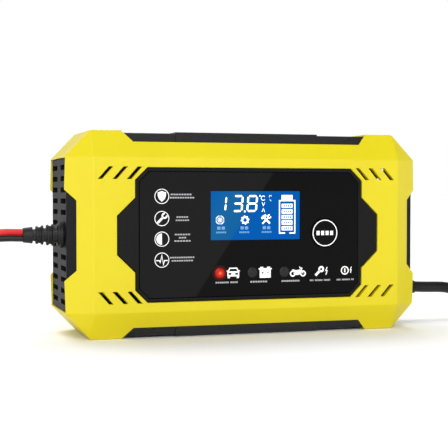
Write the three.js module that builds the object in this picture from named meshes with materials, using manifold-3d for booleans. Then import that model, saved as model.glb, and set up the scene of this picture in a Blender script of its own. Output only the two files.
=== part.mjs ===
// A 12 V car battery charger: a chamfered two-shell case with vented panels, a display front,
// the boards and fan inside, an output lead with two clamps, and a mains lead with its plug.
// Millimetres. +X is the right-hand end, -Y the display front, +Z up; the origin is at the
// middle of the case's underside.

import * as THREE from 'three';
import { ConvexGeometry } from 'three/addons/geometries/ConvexGeometry.js';
import { mergeVertices } from 'three/addons/utils/BufferGeometryUtils.js';
import Module from 'manifold-3d';

const wasm = await Module();
wasm.setup();

// ---- driving dimensions -------------------------------------------------------------------

const bodyWidth = 165;
const bodyDepth = 53.6;
const bodyHeight = 90.6;
const chamferX = 11.4;
const chamferY = 6.85;
const chamferZ = 11.9;
const wall = 2.4;
const fitGap = 0.3;
const runningGap = 0.4;

const panelInset = 1.0;
const flangeThickness = 1.2;
const flangeLip = 1.5;
const notchShare = 0.42;
const sideNotchInner = 15.0;
const sideNotchOuter = 19.6;
const topNotchInner = 53.0;
const topNotchOuter = 57.4;
const padHalfWidth = 33.5;
const padRise = 0.6;

const ventPitch = 4.88;
const ventRows = 13;
const ventHeight = 2.2;
const ventLength = 13.8;
const ventColumnY = 11.3;

const slitWidth = 1.9;
const slitLength = 5.4;
const slitLean = 4.8;
const slitPitch = 6.35;
const slitCount = 3;
const slitOuterX = 69.2;
const slitInset = 24.1;
const labelHalf = [32, 20];
const labelRecess = 0.4;

const bezelHalfWidth = 53.0;
const bezelHalfHeight = 29.25;
const bezelCorner = 5.5;
const wingReach = 7.9;
const wingInner = 16.1;
const wingOuter = 8.4;
const bezelRecess = 0.4;
const bezelLedge = 2.0;
const bezelRim = 1.4;
const overlayThickness = 1.4;

const lcdFromEdge = 30.4;
const lcdWidth = 0.781 * bezelHalfWidth;
const lcdCentreX = bezelHalfWidth - lcdFromEdge - lcdWidth / 2;
const lcdCentreZ = 8.2;
const lcdHeight = 21.5;
const backlightBorder = 2.4;
const backlightDepth = 4.2;

const buttonFromEdge = 18.25;
const buttonX = bezelHalfWidth - buttonFromEdge;
const buttonZ = 0.1;
const buttonRadius = 6.6;
const buttonTravel = 0.6;
const switchHeight = 2.9;
const plungerSeat = 1.1;
const buttonFlange = 1.0;
const plungerRadius = 1.7;

const ledRadius = 2.05;
const ledPitch = 0.285 * bezelHalfWidth;
const ledFirstX = -0.281 * bezelHalfWidth;
const ledZ = -17.1;

const boardThickness = 1.6;
const displaySetback = 6.7;
const displayBoardY = -bodyDepth / 2 + displaySetback;
const displayBoardHalf = [bezelHalfWidth + 1.0, bezelHalfHeight - 3.75];
const mainBoardHalf = [58.0, 35.0];
const mainBoardBehind = 5.4;

const postX = 62.4;
const postZ = 18.7;
const postRadius = 3.5;
const screwRadius = 1.5;
const screwHeadRadius = 3.0;
const screwLength = 34.0;
const driveHalf = [1.8, 0.4];
const driveDepth = 1.3;

const fanSize = 35.0;
const fanThickness = 9.6;
const fanBore = 16.4;
const fanHub = 9.0;
const fanSetback = 0.6;
const fanWeb = 1.6;
const fanPinRadius = 1.0;
const fanPinSetback = 2.4;
const fanBlades = 7;
const bladeTwist = 28;

const coreHalf = [15, 12, 7];
const coreLimb = 4.5;
const coreWindow = 11.0;
const coreWindowHalf = 8.0;
const windingHalf = 13.0;
const transformerX = -5.0;
const bulkCapacitor = { radius: 8, height: 28, x: 24, z: 20 };
const choke = { radius: 6.5, wire: 3, x: 45, z: 20 };
const fuse = { radius: 2.6, half: 10, x: 40, z: -25 };
const sink = { depth: 26, plate: 2, finReach: 6, finPitch: 6, finThickness: 1.6, half: 14 };
const primarySink = { x: 32, z: -6 };
const outputSink = { x: -40, z: 16 };
const device = { half: 5, length: 15, thickness: 4.8, setback: 1 };
const outputCapacitor = { radius: 5, height: 20, x: [-49, -36], z: -4 };
const relay = { half: [9.5, 7.5], depth: 15, x: -42, z: -23 };

const leadExitY = -12.0;
const mainsExitY = 11.3;
const mainsExitZ = -28.9;
const leadRelief = { neck: 4.0, barb: 4.8, flange: 5.75, root: 5.1 };
const mainsRelief = { neck: 3.0, barb: 3.4, flange: 4.2, root: 3.9 };
const reliefReach = 17.7;
const leadWidth = 5.6;
const coreDiameter = 2.8;
const mainsDiameter = 5.4;

// ---- colours and finishes -----------------------------------------------------------------

function finish(color, roughness, metalness = 0) {
  return new THREE.MeshStandardMaterial({ color, roughness, metalness });
}

const yellowPlastic = finish(0xf7e11e, 0.42);
const blackPlastic = finish(0x26262a, 0.5);
const meshPlastic = finish(0x1c1c1f, 0.6);
const glossBlack = finish(0x101012, 0.12);
const blueGlass = finish(0x0a64be, 0.15);
const redLens = finish(0xe8281e, 0.2);
const darkLens = finish(0x2a1a1a, 0.2);
const rubber = finish(0x1b1b1c, 0.65);
const redVinyl = finish(0xc8202a, 0.5);
const blackVinyl = finish(0x18181a, 0.5);
const boardGreen = finish(0x1e5a33, 0.5);
const ferrite = finish(0x3a3a3c, 0.6);
const copper = finish(0xb06a34, 0.35, 0.8);
const aluminium = finish(0xb8bbc0, 0.4, 1);
const steel = finish(0xc4c6c8, 0.3, 1);
const brass = finish(0xc9a24a, 0.3, 1);
const canSleeve = finish(0x20242c, 0.4);
const moulding = finish(0x222226, 0.45);

// ---- small modelling tools ----------------------------------------------------------------

const halfX = bodyWidth / 2;
const halfY = bodyDepth / 2;
const halfZ = bodyHeight / 2;
const faceY = -halfY;
const basis = {
  x: new THREE.Matrix4().makeBasis(
    new THREE.Vector3(0, 1, 0), new THREE.Vector3(0, 0, 1), new THREE.Vector3(1, 0, 0)),
  y: new THREE.Matrix4().makeBasis(
    new THREE.Vector3(1, 0, 0), new THREE.Vector3(0, 0, 1), new THREE.Vector3(0, -1, 0)),
  z: new THREE.Matrix4(),
};

function solid(geometry) {
  const bare = geometry.clone();
  bare.deleteAttribute('normal');
  bare.deleteAttribute('uv');
  const merged = mergeVertices(bare, 1e-5);
  const vertProperties = new Float32Array(merged.attributes.position.array);
  const triVerts = new Uint32Array(merged.index.array);
  return new wasm.Manifold(new wasm.Mesh({ numProp: 3, vertProperties, triVerts }));
}

function geometryOf(manifold) {
  const { vertProperties, triVerts, numProp } = manifold.getMesh();
  const position = new Float32Array((vertProperties.length / numProp) * 3);
  for (let i = 0; i < position.length / 3; i += 1) {
    for (let k = 0; k < 3; k += 1) {
      position[3 * i + k] = vertProperties[numProp * i + k];
    }
  }
  const geometry = new THREE.BufferGeometry();
  geometry.setAttribute('position', new THREE.BufferAttribute(position, 3));
  geometry.setIndex(new THREE.BufferAttribute(new Uint32Array(triVerts), 1));
  return geometry;
}

// A prism on a closed outline. Along x the outline is (y, z), along y it is (x, z) and along
// z it is (x, y).
function prism(outline, axis, low, high) {
  const shape = new THREE.Shape(outline.map(([a, b]) => new THREE.Vector2(a, b)));
  const geometry = new THREE.ExtrudeGeometry(shape, { depth: high - low, bevelEnabled: false });
  geometry.applyMatrix4(basis[axis]);
  const start = { x: [low, 0, 0], y: [0, high, 0], z: [0, 0, low] }[axis];
  geometry.translate(...start);
  return solid(geometry);
}

function block(x, y, z) {
  return prism([[x[0], y[0]], [x[1], y[0]], [x[1], y[1]], [x[0], y[1]]], 'z', z[0], z[1]);
}

function circle(radius, a = 0, b = 0, sides = 24) {
  return Array.from({ length: sides }, (_, i) => {
    const turn = (2 * Math.PI * i) / sides;
    return [a + radius * Math.cos(turn), b + radius * Math.sin(turn)];
  });
}

function rod(radius, axis, a, b, low, high, sides = 24) {
  return prism(circle(radius, a, b, sides), axis, low, high);
}

// A turned piece: profile points are (radius, height) about +Z and close on the axis.
function turned(profile, sides = 24) {
  const points = profile.map(([r, h]) => new THREE.Vector2(r, h));
  const geometry = new THREE.LatheGeometry(points, sides);
  geometry.rotateX(Math.PI / 2);
  return solid(geometry);
}

function unite(parts) {
  return parts.reduce((whole, part) => whole.add(part));
}

function cut(whole, parts) {
  return parts.reduce((rest, part) => rest.subtract(part), whole);
}

const charger = new THREE.Group();

function add(name, manifold, material) {
  const mesh = new THREE.Mesh(geometryOf(manifold), material);
  mesh.name = name;
  charger.add(mesh);
  return mesh;
}

function addAt(name, manifold, material, x, y, z) {
  add(name, manifold, material).position.set(x, y, z);
}

// A tube along a hand-picked route.
function tube(route, radius, sides, steps) {
  const extrudePath = new THREE.CatmullRomCurve3(route.map((p) => new THREE.Vector3(...p)));
  const section = new THREE.Shape(circle(radius, 0, 0, sides).map((p) => new THREE.Vector2(...p)));
  const settings = { steps, extrudePath, bevelEnabled: false };
  return solid(new THREE.ExtrudeGeometry(section, settings));
}

// ---- the case -----------------------------------------------------------------------------

// The outer form moved inwards by a distance, with its chamfers kept parallel.
function caseForm(inset) {
  const slope = 1 / chamferX + 1 / chamferY - Math.hypot(1 / chamferX, 1 / chamferY);
  const share = 1 - inset * slope;
  const [x, y, z] = [halfX - inset, halfY - inset, halfZ - inset];
  const [cx, cy, cz] = [chamferX * share, chamferY * share, chamferZ * share];
  const corners = [];
  for (const sx of [-1, 1]) {
    for (const sy of [-1, 1]) {
      for (const sz of [-1, 1]) {
        corners.push(new THREE.Vector3(sx * x, sy * (y - cy), sz * (z - cz)));
        corners.push(new THREE.Vector3(sx * (x - cx), sy * y, sz * (z - cz)));
        corners.push(new THREE.Vector3(sx * (x - cx), sy * (y - cy), sz * z));
      }
    }
  }
  return solid(new ConvexGeometry(corners)).translate([0, 0, halfZ]);
}

const flatY = halfY - chamferY;
const flatZ = halfZ - chamferZ;
const notchDepth = notchShare * chamferY;

function sideWindow(grow) {
  const quarter = [
    [flatY, flatZ], [flatY, sideNotchOuter], [flatY + notchDepth, sideNotchInner],
  ].map(([y, z]) => [y + grow, z + grow]);
  const right = [...quarter, ...quarter.map(([y, z]) => [y, -z]).reverse()];
  const outline = [...right, ...right.map(([y, z]) => [-y, z]).reverse()];
  return outline.map(([y, z]) => [y, z + halfZ]).reverse();
}

function topWindow(grow) {
  const quarter = [[topNotchOuter, flatY], [topNotchInner, flatY + notchDepth]]
    .map(([x, y]) => [x + grow, y + grow]);
  const back = [...quarter, ...quarter.map(([x, y]) => [-x, y]).reverse()];
  return [...back, ...back.map(([x, y]) => [x, -y]).reverse()];
}

// The front opening: an octagon with a wing at each end.
function bezelOutline(grow) {
  const w = bezelHalfWidth + grow;
  const h = bezelHalfHeight + grow;
  const c = bezelCorner + grow * (2 - Math.SQRT2);
  const lean = grow * (Math.SQRT2 - 1);
  const quarter = [
    [w + wingReach, wingOuter + lean], [w, wingInner + lean], [w, h - c], [w - c, h],
  ];
  const top = [...quarter, ...quarter.map(([x, z]) => [-x, z]).reverse()];
  const outline = [...top, ...top.map(([x, z]) => [x, -z]).reverse()];
  return outline.map(([x, z]) => [x, z + halfZ]);
}

function octagon(grow) {
  const w = bezelHalfWidth + grow;
  const h = bezelHalfHeight + grow;
  const c = bezelCorner + grow * (2 - Math.SQRT2);
  const quarter = [[w, h - c], [w - c, h]];
  const top = [...quarter, ...quarter.map(([x, z]) => [-x, z]).reverse()];
  return [...top, ...top.map(([x, z]) => [x, -z]).reverse()].map(([x, z]) => [x, z + halfZ]);
}

// Three slanted slits in each corner of a face, leaning in towards the middle.
function slitCutters(low, high) {
  const cutters = [];
  for (const sx of [-1, 1]) {
    for (const sz of [-1, 1]) {
      for (let i = 0; i < slitCount; i += 1) {
        const outer = slitOuterX - i * slitPitch;
        const outline = [
          [outer, slitInset], [outer - slitWidth, slitInset],
          [outer - slitWidth - slitLean, slitInset + slitLength],
          [outer - slitLean, slitInset + slitLength],
        ].map(([x, z]) => [sx * x, halfZ + sz * z]);
        cutters.push(prism(sx * sz > 0 ? outline.reverse() : outline, 'y', low, high));
      }
    }
  }
  return cutters;
}

function cornerSpots() {
  return [[-1, -1], [1, -1], [-1, 1], [1, 1]].map(([sx, sz]) => [sx * postX, halfZ + sz * postZ]);
}

const cavity = caseForm(wall);
const shellWindows = [
  prism(sideWindow(0), 'x', halfX - chamferX / 2 - wall, halfX + 1),
  prism(sideWindow(0), 'x', -halfX - 1, -halfX + chamferX / 2 + wall),
  prism(topWindow(0), 'z', bodyHeight - chamferZ / 2 - wall, bodyHeight + 1),
  prism(topWindow(0), 'z', -1, chamferZ / 2 + wall),
];

function frontShell() {
  const half = block([-halfX - 1, halfX + 1], [-halfY - 1, -fitGap / 2], [-1, bodyHeight + 1]);
  const posts = cornerSpots().map(([x, z]) =>
    rod(postRadius, 'y', x, z, faceY + wall / 2, -fitGap / 2, 16));
  const bores = cornerSpots().map(([x, z]) =>
    rod(screwRadius + fitGap / 2, 'y', x, z, halfY - wall - screwLength - 1, 1, 12));
  const shell = cut(caseForm(0).subtract(cavity).intersect(half), shellWindows);
  const opening = prism(bezelOutline(0), 'y', faceY - 1, faceY + wall + 1);
  const slits = slitCutters(faceY - 1, faceY + wall + 1);
  return cut(unite([shell, ...posts]), [opening, ...bores, ...slits]);
}

function rearShell() {
  const half = block([-halfX - 1, halfX + 1], [fitGap / 2, halfY + 1], [-1, bodyHeight + 1]);
  const posts = cornerSpots().map(([x, z]) =>
    rod(postRadius, 'y', x, z, fitGap / 2, halfY - wall / 2, 16));
  const bores = cornerSpots().map(([x, z]) => rod(screwRadius + fitGap, 'y', x, z, 0, halfY, 12));
  const heads = cornerSpots().map(([x, z]) =>
    rod(screwHeadRadius + fitGap, 'y', x, z, halfY - wall, halfY + 1, 16));
  const shelves = [[-1, -1], [1, -1], [-1, 1], [1, 1]].map(([sx, sz]) =>
    rod(3, 'y', sx * (mainBoardHalf[0] - 5), halfZ + sz * (mainBoardHalf[1] - 5),
      halfY - wall - mainBoardBehind + fitGap, halfY - wall / 2, 12));
  const label = block([-labelHalf[0], labelHalf[0]], [halfY - labelRecess, halfY + 1],
    [halfZ - labelHalf[1], halfZ + labelHalf[1]]);
  const shell = cut(caseForm(0).subtract(cavity).intersect(half), shellWindows);
  return cut(unite([shell, ...posts, ...shelves]), [label, ...bores, ...heads]);
}

// A panel that fills a window from behind, with a flange that bears on the inside of the shell.
function windowPanel(plug, flange) {
  const inner = caseForm(wall + fitGap + flangeThickness);
  const plate = caseForm(panelInset).subtract(inner).intersect(plug);
  const rim = caseForm(wall + fitGap).subtract(inner).intersect(flange);
  return plate.add(rim);
}

function ventPanel(side, relief, reliefY, reliefZ) {
  const low = side > 0 ? halfX - 8 : -halfX - 1;
  const high = side > 0 ? halfX + 1 : -halfX + 8;
  const panel = windowPanel(
    prism(sideWindow(-fitGap), 'x', low, high), prism(sideWindow(flangeLip), 'x', low, high));
  const slots = [];
  for (const y of [-ventColumnY, ventColumnY]) {
    for (let row = 0; row < ventRows; row += 1) {
      const z = (row - (ventRows - 1) / 2) * ventPitch;
      const reach = relief.flange + ventHeight / 2 + 0.6;
      const besideRelief = Math.sign(y) === Math.sign(reliefY) && Math.abs(z - reliefZ) < reach;
      if (!besideRelief) {
        slots.push(block([low, high], [y - ventLength / 2, y + ventLength / 2],
          [halfZ + z - ventHeight / 2, halfZ + z + ventHeight / 2]));
      }
    }
  }
  const hole = rod(relief.neck + fitGap, 'x', reliefY, halfZ + reliefZ, low, high);
  return cut(panel, [...slots, hole]);
}

// The top and bottom panels carry a slightly raised middle pad.
function padPanel(side) {
  const low = side > 0 ? bodyHeight - 8 : -1;
  const high = side > 0 ? bodyHeight + 1 : 8;
  const panel = windowPanel(
    prism(topWindow(-fitGap), 'z', low, high), prism(topWindow(flangeLip), 'z', low, high));
  const band = block([-padHalfWidth, padHalfWidth], [-halfY, halfY], [low, high]);
  const raised = caseForm(panelInset - padRise).subtract(caseForm(wall))
    .intersect(band).intersect(prism(topWindow(-fitGap), 'z', low, high));
  return panel.add(raised);
}

add('front_shell', frontShell(), yellowPlastic);
add('rear_shell', rearShell(), yellowPlastic);
add('left_vent_panel', ventPanel(-1, leadRelief, leadExitY, 0), blackPlastic);
add('right_vent_panel', ventPanel(1, mainsRelief, mainsExitY, mainsExitZ), blackPlastic);
add('top_panel', padPanel(1), blackPlastic);
add('bottom_panel', padPanel(-1), blackPlastic);

function caseScrew() {
  const head = rod(screwHeadRadius, 'y', 0, 0, halfY - wall + fitGap, halfY - 0.3, 16);
  const shank = rod(screwRadius, 'y', 0, 0, halfY - wall - screwLength, halfY - wall + fitGap, 12);
  const [long, short] = driveHalf;
  const drive = [
    block([-long, long], [halfY - driveDepth, halfY], [-short, short]),
    block([-short, short], [halfY - driveDepth, halfY], [-long, long]),
  ];
  return cut(head.add(shank), drive);
}

cornerSpots().forEach(([x, z], i) => addAt(`case_screw_${i + 1}`, caseScrew(), steel, x, 0, z));

// ---- the display front --------------------------------------------------------------------

const bezelFaceY = faceY + bezelRecess;
const overlayBackY = bezelFaceY + overlayThickness;
const bezelBackY = faceY + wall + fitGap + flangeThickness;

function frontBezel() {
  const plug = prism(bezelOutline(-fitGap), 'y', bezelFaceY, bezelBackY);
  const flange = prism(bezelOutline(flangeLip), 'y', faceY + wall + fitGap, bezelBackY);
  const recess = prism(octagon(-fitGap - bezelRim), 'y', bezelFaceY - 1, overlayBackY + fitGap);
  const window = prism(octagon(-fitGap - bezelRim - bezelLedge), 'y', faceY - 1, bezelBackY + 1);
  const feet = [[-1, -1], [1, -1], [-1, 1], [1, 1]].map(([sx, sz]) =>
    rod(2, 'y', sx * (displayBoardHalf[0] - 2.1), halfZ + sz * (displayBoardHalf[1] - 5),
      bezelBackY - flangeThickness, displayBoardY - fitGap, 12));
  return unite([cut(plug.add(flange), [recess, window]), ...feet]);
}

const lcdBox = {
  x: [lcdCentreX - lcdWidth / 2, lcdCentreX + lcdWidth / 2],
  z: [halfZ + lcdCentreZ - lcdHeight / 2, halfZ + lcdCentreZ + lcdHeight / 2],
};

function grown([low, high], by) {
  return [low - by, high + by];
}

function ledSpots() {
  return [0, 1, 2].map((i) => [ledFirstX + i * ledPitch, halfZ + ledZ]);
}

function displayPanel() {
  const sheet = prism(octagon(-2 * fitGap - bezelRim), 'y', bezelFaceY, overlayBackY);
  const depth = [faceY - 1, overlayBackY + 1];
  const window = block(grown(lcdBox.x, fitGap), depth, grown(lcdBox.z, fitGap));
  const eye = rod(buttonRadius + fitGap, 'y', buttonX, halfZ + buttonZ, faceY - 1, 0, 32);
  const holes = ledSpots().map(([x, z]) => rod(ledRadius + fitGap, 'y', x, z, faceY - 1, 0, 16));
  return cut(sheet, [window, eye, ...holes]);
}

const flangeFrontY = overlayBackY + fitGap;
const flangeBackY = flangeFrontY + 0.6;
const switchFrontY = displayBoardY - switchHeight;
const stemTipY = switchFrontY - fitGap - buttonTravel;

function modeButton() {
  return unite([
    rod(buttonRadius, 'y', 0, 0, faceY, flangeBackY, 32),
    rod(buttonRadius + buttonFlange, 'y', 0, 0, flangeFrontY, flangeBackY, 32),
    rod(plungerRadius, 'y', 0, 0, flangeBackY - 0.1, stemTipY, 16),
  ]);
}

function modeSwitch() {
  const body = block([-3, 3], [switchFrontY, displayBoardY - fitGap], [-3, 3]);
  const depth = plungerSeat + buttonTravel + fitGap;
  return body.subtract(
    rod(plungerRadius + fitGap, 'y', 0, 0, switchFrontY - 1, switchFrontY + depth, 16));
}

function ledLens() {
  const back = -displayBoardY + fitGap;
  const crown = -faceY;
  const shoulder = crown - 0.9;
  const profile = [
    [0, back], [ledRadius, back], [ledRadius, shoulder], [ledRadius * 0.7, crown - 0.27],
    [0, crown],
  ];
  return turned(profile, 16).rotate([90, 0, 0]);
}

add('front_bezel', frontBezel(), meshPlastic);
add('display_panel', displayPanel(), glossBlack);
add('lcd_window', block(lcdBox.x, [bezelFaceY, overlayBackY], lcdBox.z), blueGlass);
add('lcd_backlight', block(grown(lcdBox.x, backlightBorder),
  [overlayBackY + fitGap, overlayBackY + fitGap + backlightDepth],
  grown(lcdBox.z, backlightBorder)), moulding);
addAt('mode_button', modeButton(), glossBlack, buttonX, 0, halfZ + buttonZ);
addAt('switch_plunger',
  rod(plungerRadius, 'y', 0, 0, stemTipY + fitGap, switchFrontY + plungerSeat, 16),
  blackPlastic, buttonX, 0, halfZ + buttonZ);
addAt('mode_switch', modeSwitch(), moulding, buttonX, 0, halfZ + buttonZ);
ledSpots().forEach(([x, z], i) =>
  addAt(`led_lens_${i + 1}`, ledLens(), i === 0 ? redLens : darkLens, x, 0, z));
add('display_board', block([-displayBoardHalf[0], displayBoardHalf[0]],
  [displayBoardY, displayBoardY + boardThickness],
  [halfZ - displayBoardHalf[1], halfZ + displayBoardHalf[1]]), boardGreen);

// ---- the power electronics ----------------------------------------------------------------

const boardBackY = halfY - wall - mainBoardBehind;
const boardFrontY = boardBackY - boardThickness;
const seatY = boardFrontY - fitGap;

add('main_board', block([-mainBoardHalf[0], mainBoardHalf[0]], [boardFrontY, boardBackY],
  [halfZ - mainBoardHalf[1], halfZ + mainBoardHalf[1]]), boardGreen);

function transformerCore() {
  const [x, y, z] = coreHalf;
  const windows = [[coreLimb, coreWindow], [-coreWindow, -coreLimb]].map((across) =>
    block(across, [-coreWindowHalf, coreWindowHalf], [-coreWindowHalf, coreWindowHalf]));
  return cut(block([-x, x], [-y, y], [-z, z]), windows);
}

function transformerWinding() {
  const across = coreWindow - fitGap;
  const along = coreWindowHalf - fitGap;
  const limb = coreLimb + fitGap;
  const core = coreHalf[2] + fitGap;
  const former = block([-across, across], [-along, along], [-windingHalf, windingHalf]);
  return former.subtract(block([-limb, limb], [-along - 1, along + 1], [-core, core]));
}

function standingCan({ radius, height }, sides) {
  return rod(radius, 'y', 0, 0, seatY - height, seatY, sides);
}

function lineChoke() {
  const { radius, wire } = choke;
  const ring = new THREE.TorusGeometry(radius, wire, 8, 20).rotateX(Math.PI / 2);
  return solid(ring.translate(choke.x, seatY - wire - 0.1, halfZ + choke.z));
}

const transformerY = seatY - coreHalf[1];
addAt('transformer_core', transformerCore(), ferrite, transformerX, transformerY, halfZ);
addAt('transformer_winding', transformerWinding(), copper, transformerX, transformerY, halfZ);
addAt('bulk_capacitor', standingCan(bulkCapacitor, 20), canSleeve,
  bulkCapacitor.x, 0, halfZ + bulkCapacitor.z);
add('line_choke', lineChoke(), copper);
addAt('mains_fuse', rod(fuse.radius, 'x', seatY - fuse.radius - 0.2, 0, -fuse.half, fuse.half, 12),
  steel, fuse.x, 0, halfZ + fuse.z);

// A finned heatsink stands off the board, and a power device lies along its underside.
function heatsink() {
  const { depth, plate, finReach, finPitch, finThickness, half } = sink;
  const outline = [[seatY - depth, 0], [seatY, 0], [seatY, plate]];
  for (let y = seatY - 2 * plate; y > seatY - depth + plate; y -= finPitch) {
    outline.push([y, plate], [y, finReach], [y - finThickness, finReach], [y - finThickness, plate]);
  }
  outline.push([seatY - depth, plate]);
  return prism(outline, 'x', -half, half);
}

function powerDevice() {
  const { half, length, thickness, setback } = device;
  return block([-half, half], [seatY - setback - length, seatY - setback], [-thickness, -fitGap]);
}

addAt('primary_heatsink', heatsink(), aluminium, primarySink.x, 0, halfZ + primarySink.z);
addAt('switching_transistor', powerDevice(), moulding, primarySink.x, 0, halfZ + primarySink.z);
addAt('output_heatsink', heatsink(), aluminium, outputSink.x, 0, halfZ + outputSink.z);
addAt('output_rectifier', powerDevice(), moulding, outputSink.x, 0, halfZ + outputSink.z);
outputCapacitor.x.forEach((x, i) =>
  addAt(`output_capacitor_${i + 1}`, standingCan(outputCapacitor, 16), canSleeve,
    x, 0, halfZ + outputCapacitor.z));
addAt('output_relay',
  block([-relay.half[0], relay.half[0]], [seatY - relay.depth, seatY], [-relay.half[1], relay.half[1]]),
  moulding, relay.x, 0, halfZ + relay.z);

// ---- the cooling fan ----------------------------------------------------------------------

const fanOuterX = halfX - wall - fitGap - flangeThickness - fanSetback;
const fanMidX = fanOuterX - fanThickness / 2;

function fanFrame() {
  const h = fanSize / 2;
  const ring = block([-fanThickness / 2, fanThickness / 2], [-h, h], [-h, h])
    .subtract(rod(fanBore, 'x', 0, 0, -fanThickness, fanThickness, 32));
  const backX = -fanThickness / 2;
  const hub = rod(fanHub - 1, 'x', 0, 0, backX, backX + fanWeb, 24);
  const pin = rod(fanPinRadius, 'x', 0, 0, backX, fanThickness / 2 - fanPinSetback, 12);
  const spokes = [0, 120, 240].map((turn) =>
    block([backX, backX + fanWeb], [-1, 1], [4, fanBore + 0.6]).rotate([turn, 0, 0]));
  return unite([ring, hub, pin, ...spokes]);
}

function fanRotor() {
  const backX = -fanThickness / 2 + fanWeb + runningGap;
  const frontX = fanThickness / 2 - 0.8;
  const boreEndX = fanThickness / 2 - fanPinSetback + runningGap;
  const hub = rod(fanHub, 'x', 0, 0, backX, frontX, 24)
    .subtract(rod(fanPinRadius + runningGap, 'x', 0, 0, backX - 1, boreEndX, 12));
  const blades = Array.from({ length: fanBlades }, (_, i) =>
    block([backX + 0.5, frontX - 0.5], [-0.5, 0.5], [fanHub - 1, fanBore - 1])
      .rotate([0, 0, bladeTwist]).rotate([(360 * i) / fanBlades, 0, 0]));
  return unite([hub, ...blades]);
}

addAt('fan_frame', fanFrame(), moulding, fanMidX, 0, halfZ);
addAt('fan_rotor', fanRotor(), moulding, fanMidX, 0, halfZ);

// ---- strain reliefs -----------------------------------------------------------------------

// Turned about the lead: a flange inside and outside the panel, then a ribbed taper.
function strainRelief({ neck, barb, flange, root }, tip, squeeze) {
  const panelInside = wall + fitGap + flangeThickness - panelInset;
  const foot = fitGap + 1.6;
  const profile = [
    [0, -panelInside - fitGap - 1.2], [barb, -panelInside - fitGap - 1.2],
    [barb, -panelInside - fitGap], [neck, -panelInside - fitGap],
    [neck, fitGap], [flange, fitGap], [flange, foot],
  ];
  const radiusAt = (s) => root + ((tip - root) * (s - foot)) / (reliefReach - foot);
  profile.push([root, foot]);
  for (let s = foot + 2.6; s < reliefReach - 3; s += 3.1) {
    profile.push([radiusAt(s), s], [radiusAt(s) * 0.8, s + 0.1]);
    profile.push([radiusAt(s) * 0.8, s + 0.9], [radiusAt(s), s + 1]);
  }
  profile.push([tip, reliefReach], [0, reliefReach]);
  return turned(profile, 16).scale([1, squeeze, 1]);
}

const panelFaceX = halfX - panelInset;
const leadSleeve = strainRelief(leadRelief, leadWidth / 2 + 0.2, 0.8).rotate([0, -90, 0]);
const mainsSleeve = strainRelief(mainsRelief, mainsDiameter / 2 + 0.4, 1).rotate([0, 90, 0]);
addAt('lead_strain_relief', leadSleeve, rubber, -panelFaceX, leadExitY, halfZ);
addAt('mains_strain_relief', mainsSleeve, rubber, panelFaceX, mainsExitY, halfZ + mainsExitZ);

// ---- the output lead ----------------------------------------------------------------------

const leadTipX = -panelFaceX - reliefReach - fitGap;
const leadRoute = [
  [leadTipX, leadExitY, halfZ], [-106, -12, 45.4], [-112, -12, 44.9], [-118.3, -12.2, 42.7],
  [-124, -12.7, 38.6], [-128.6, -13.3, 33], [-132.4, -13.9, 26.7], [-136.5, -14.7, 20.3],
  [-141.2, -15.6, 14.2], [-147, -16.6, 9], [-153.8, -17.5, 5.4],
];
const redTailRoute = [
  [-161.3, 20.2, 13.2], [-158.6, 18.6, 13.8], [-156.2, 12.6, 15.6], [-158.6, 6.5, 17.2],
  [-164.5, 4, 18.1], [-170, 4, 18.2], [-175.4, 4, 18.2],
];
const blackTailRoute = [
  [-157.2, 19.6, 10.5], [-155.3, 18, 11.2], [-152.6, 13.8, 12.8], [-151.9, 9.8, 14],
  [-155.3, 2, 16.4], [-163.5, -1.2, 18], [-170, -1.2, 18.2], [-175.4, -1.2, 18.2],
];
const leadHank = { centre: [-196, 1.4], run: 48, inner: 15.2, outer: 21.4 };
const leadHankHeight = 11.3;
const floorGap = 0.1;

// A lead wound on two round ends a straight run apart, as an oval seen from above.
function ovalOutline(run, radius) {
  const half = Array.from({ length: 17 }, (_, i) => {
    const turn = -Math.PI / 2 + (Math.PI * i) / 16;
    return [run / 2 + radius * Math.cos(turn), radius * Math.sin(turn)];
  });
  return [...half, ...half.map(([x, y]) => [-x, -y])];
}

function hank({ run, inner, outer }, height) {
  const whole = prism(ovalOutline(run, outer), 'z', floorGap, floorGap + height);
  return whole.subtract(prism(ovalOutline(run, inner), 'z', 0, floorGap + height + 1));
}

add('output_lead', tube(leadRoute, leadWidth / 2, 8, 24), redVinyl);
addAt('output_lead_coil', hank(leadHank, leadHankHeight), redVinyl, ...leadHank.centre, 0);
add('red_tail', tube(redTailRoute, coreDiameter / 2, 8, 22), redVinyl);
add('black_tail', tube(blackTailRoute, coreDiameter / 2, 8, 24), blackVinyl);

// ---- the clamps ---------------------------------------------------------------------------

const clampSheet = 0.9;
const gripSheet = 1.4;
const wideJaw = 9.4;
const narrowJaw = wideJaw - 2 * clampSheet - 2 * fitGap;
const handleEnd = 26;
const jawEnd = 26;
const earRadius = 4.2;
const clampMidZ = floorGap + leadHankHeight + fitGap + wideJaw / 2 + fitGap + gripSheet;
const clampPivotX = -204;
const clampSpread = 14.8;
const toothPitch = 2.8;

// One half of a clamp, seen from its side: the jaw runs to +u and the handle to -u.
function jawOutline() {
  const edge = [[-handleEnd, 12], [-handleEnd, 9], [-9, 3.4]];
  for (let turn = 190; turn <= 350; turn += 20) {
    const angle = (turn * Math.PI) / 180;
    edge.push([earRadius * Math.cos(angle), earRadius * Math.sin(angle)]);
  }
  edge.push([8, 2.2]);
  for (let u = 11; u < jawEnd - 1.5; u += toothPitch) {
    edge.push([u, 1.5], [u + toothPitch / 2, 0.35]);
  }
  edge.push([jawEnd, 0.9], [jawEnd, 1.8], [20, 4.4], [10, 6.2], [0, 5.8], [-9, 6.4]);
  return edge;
}

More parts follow.
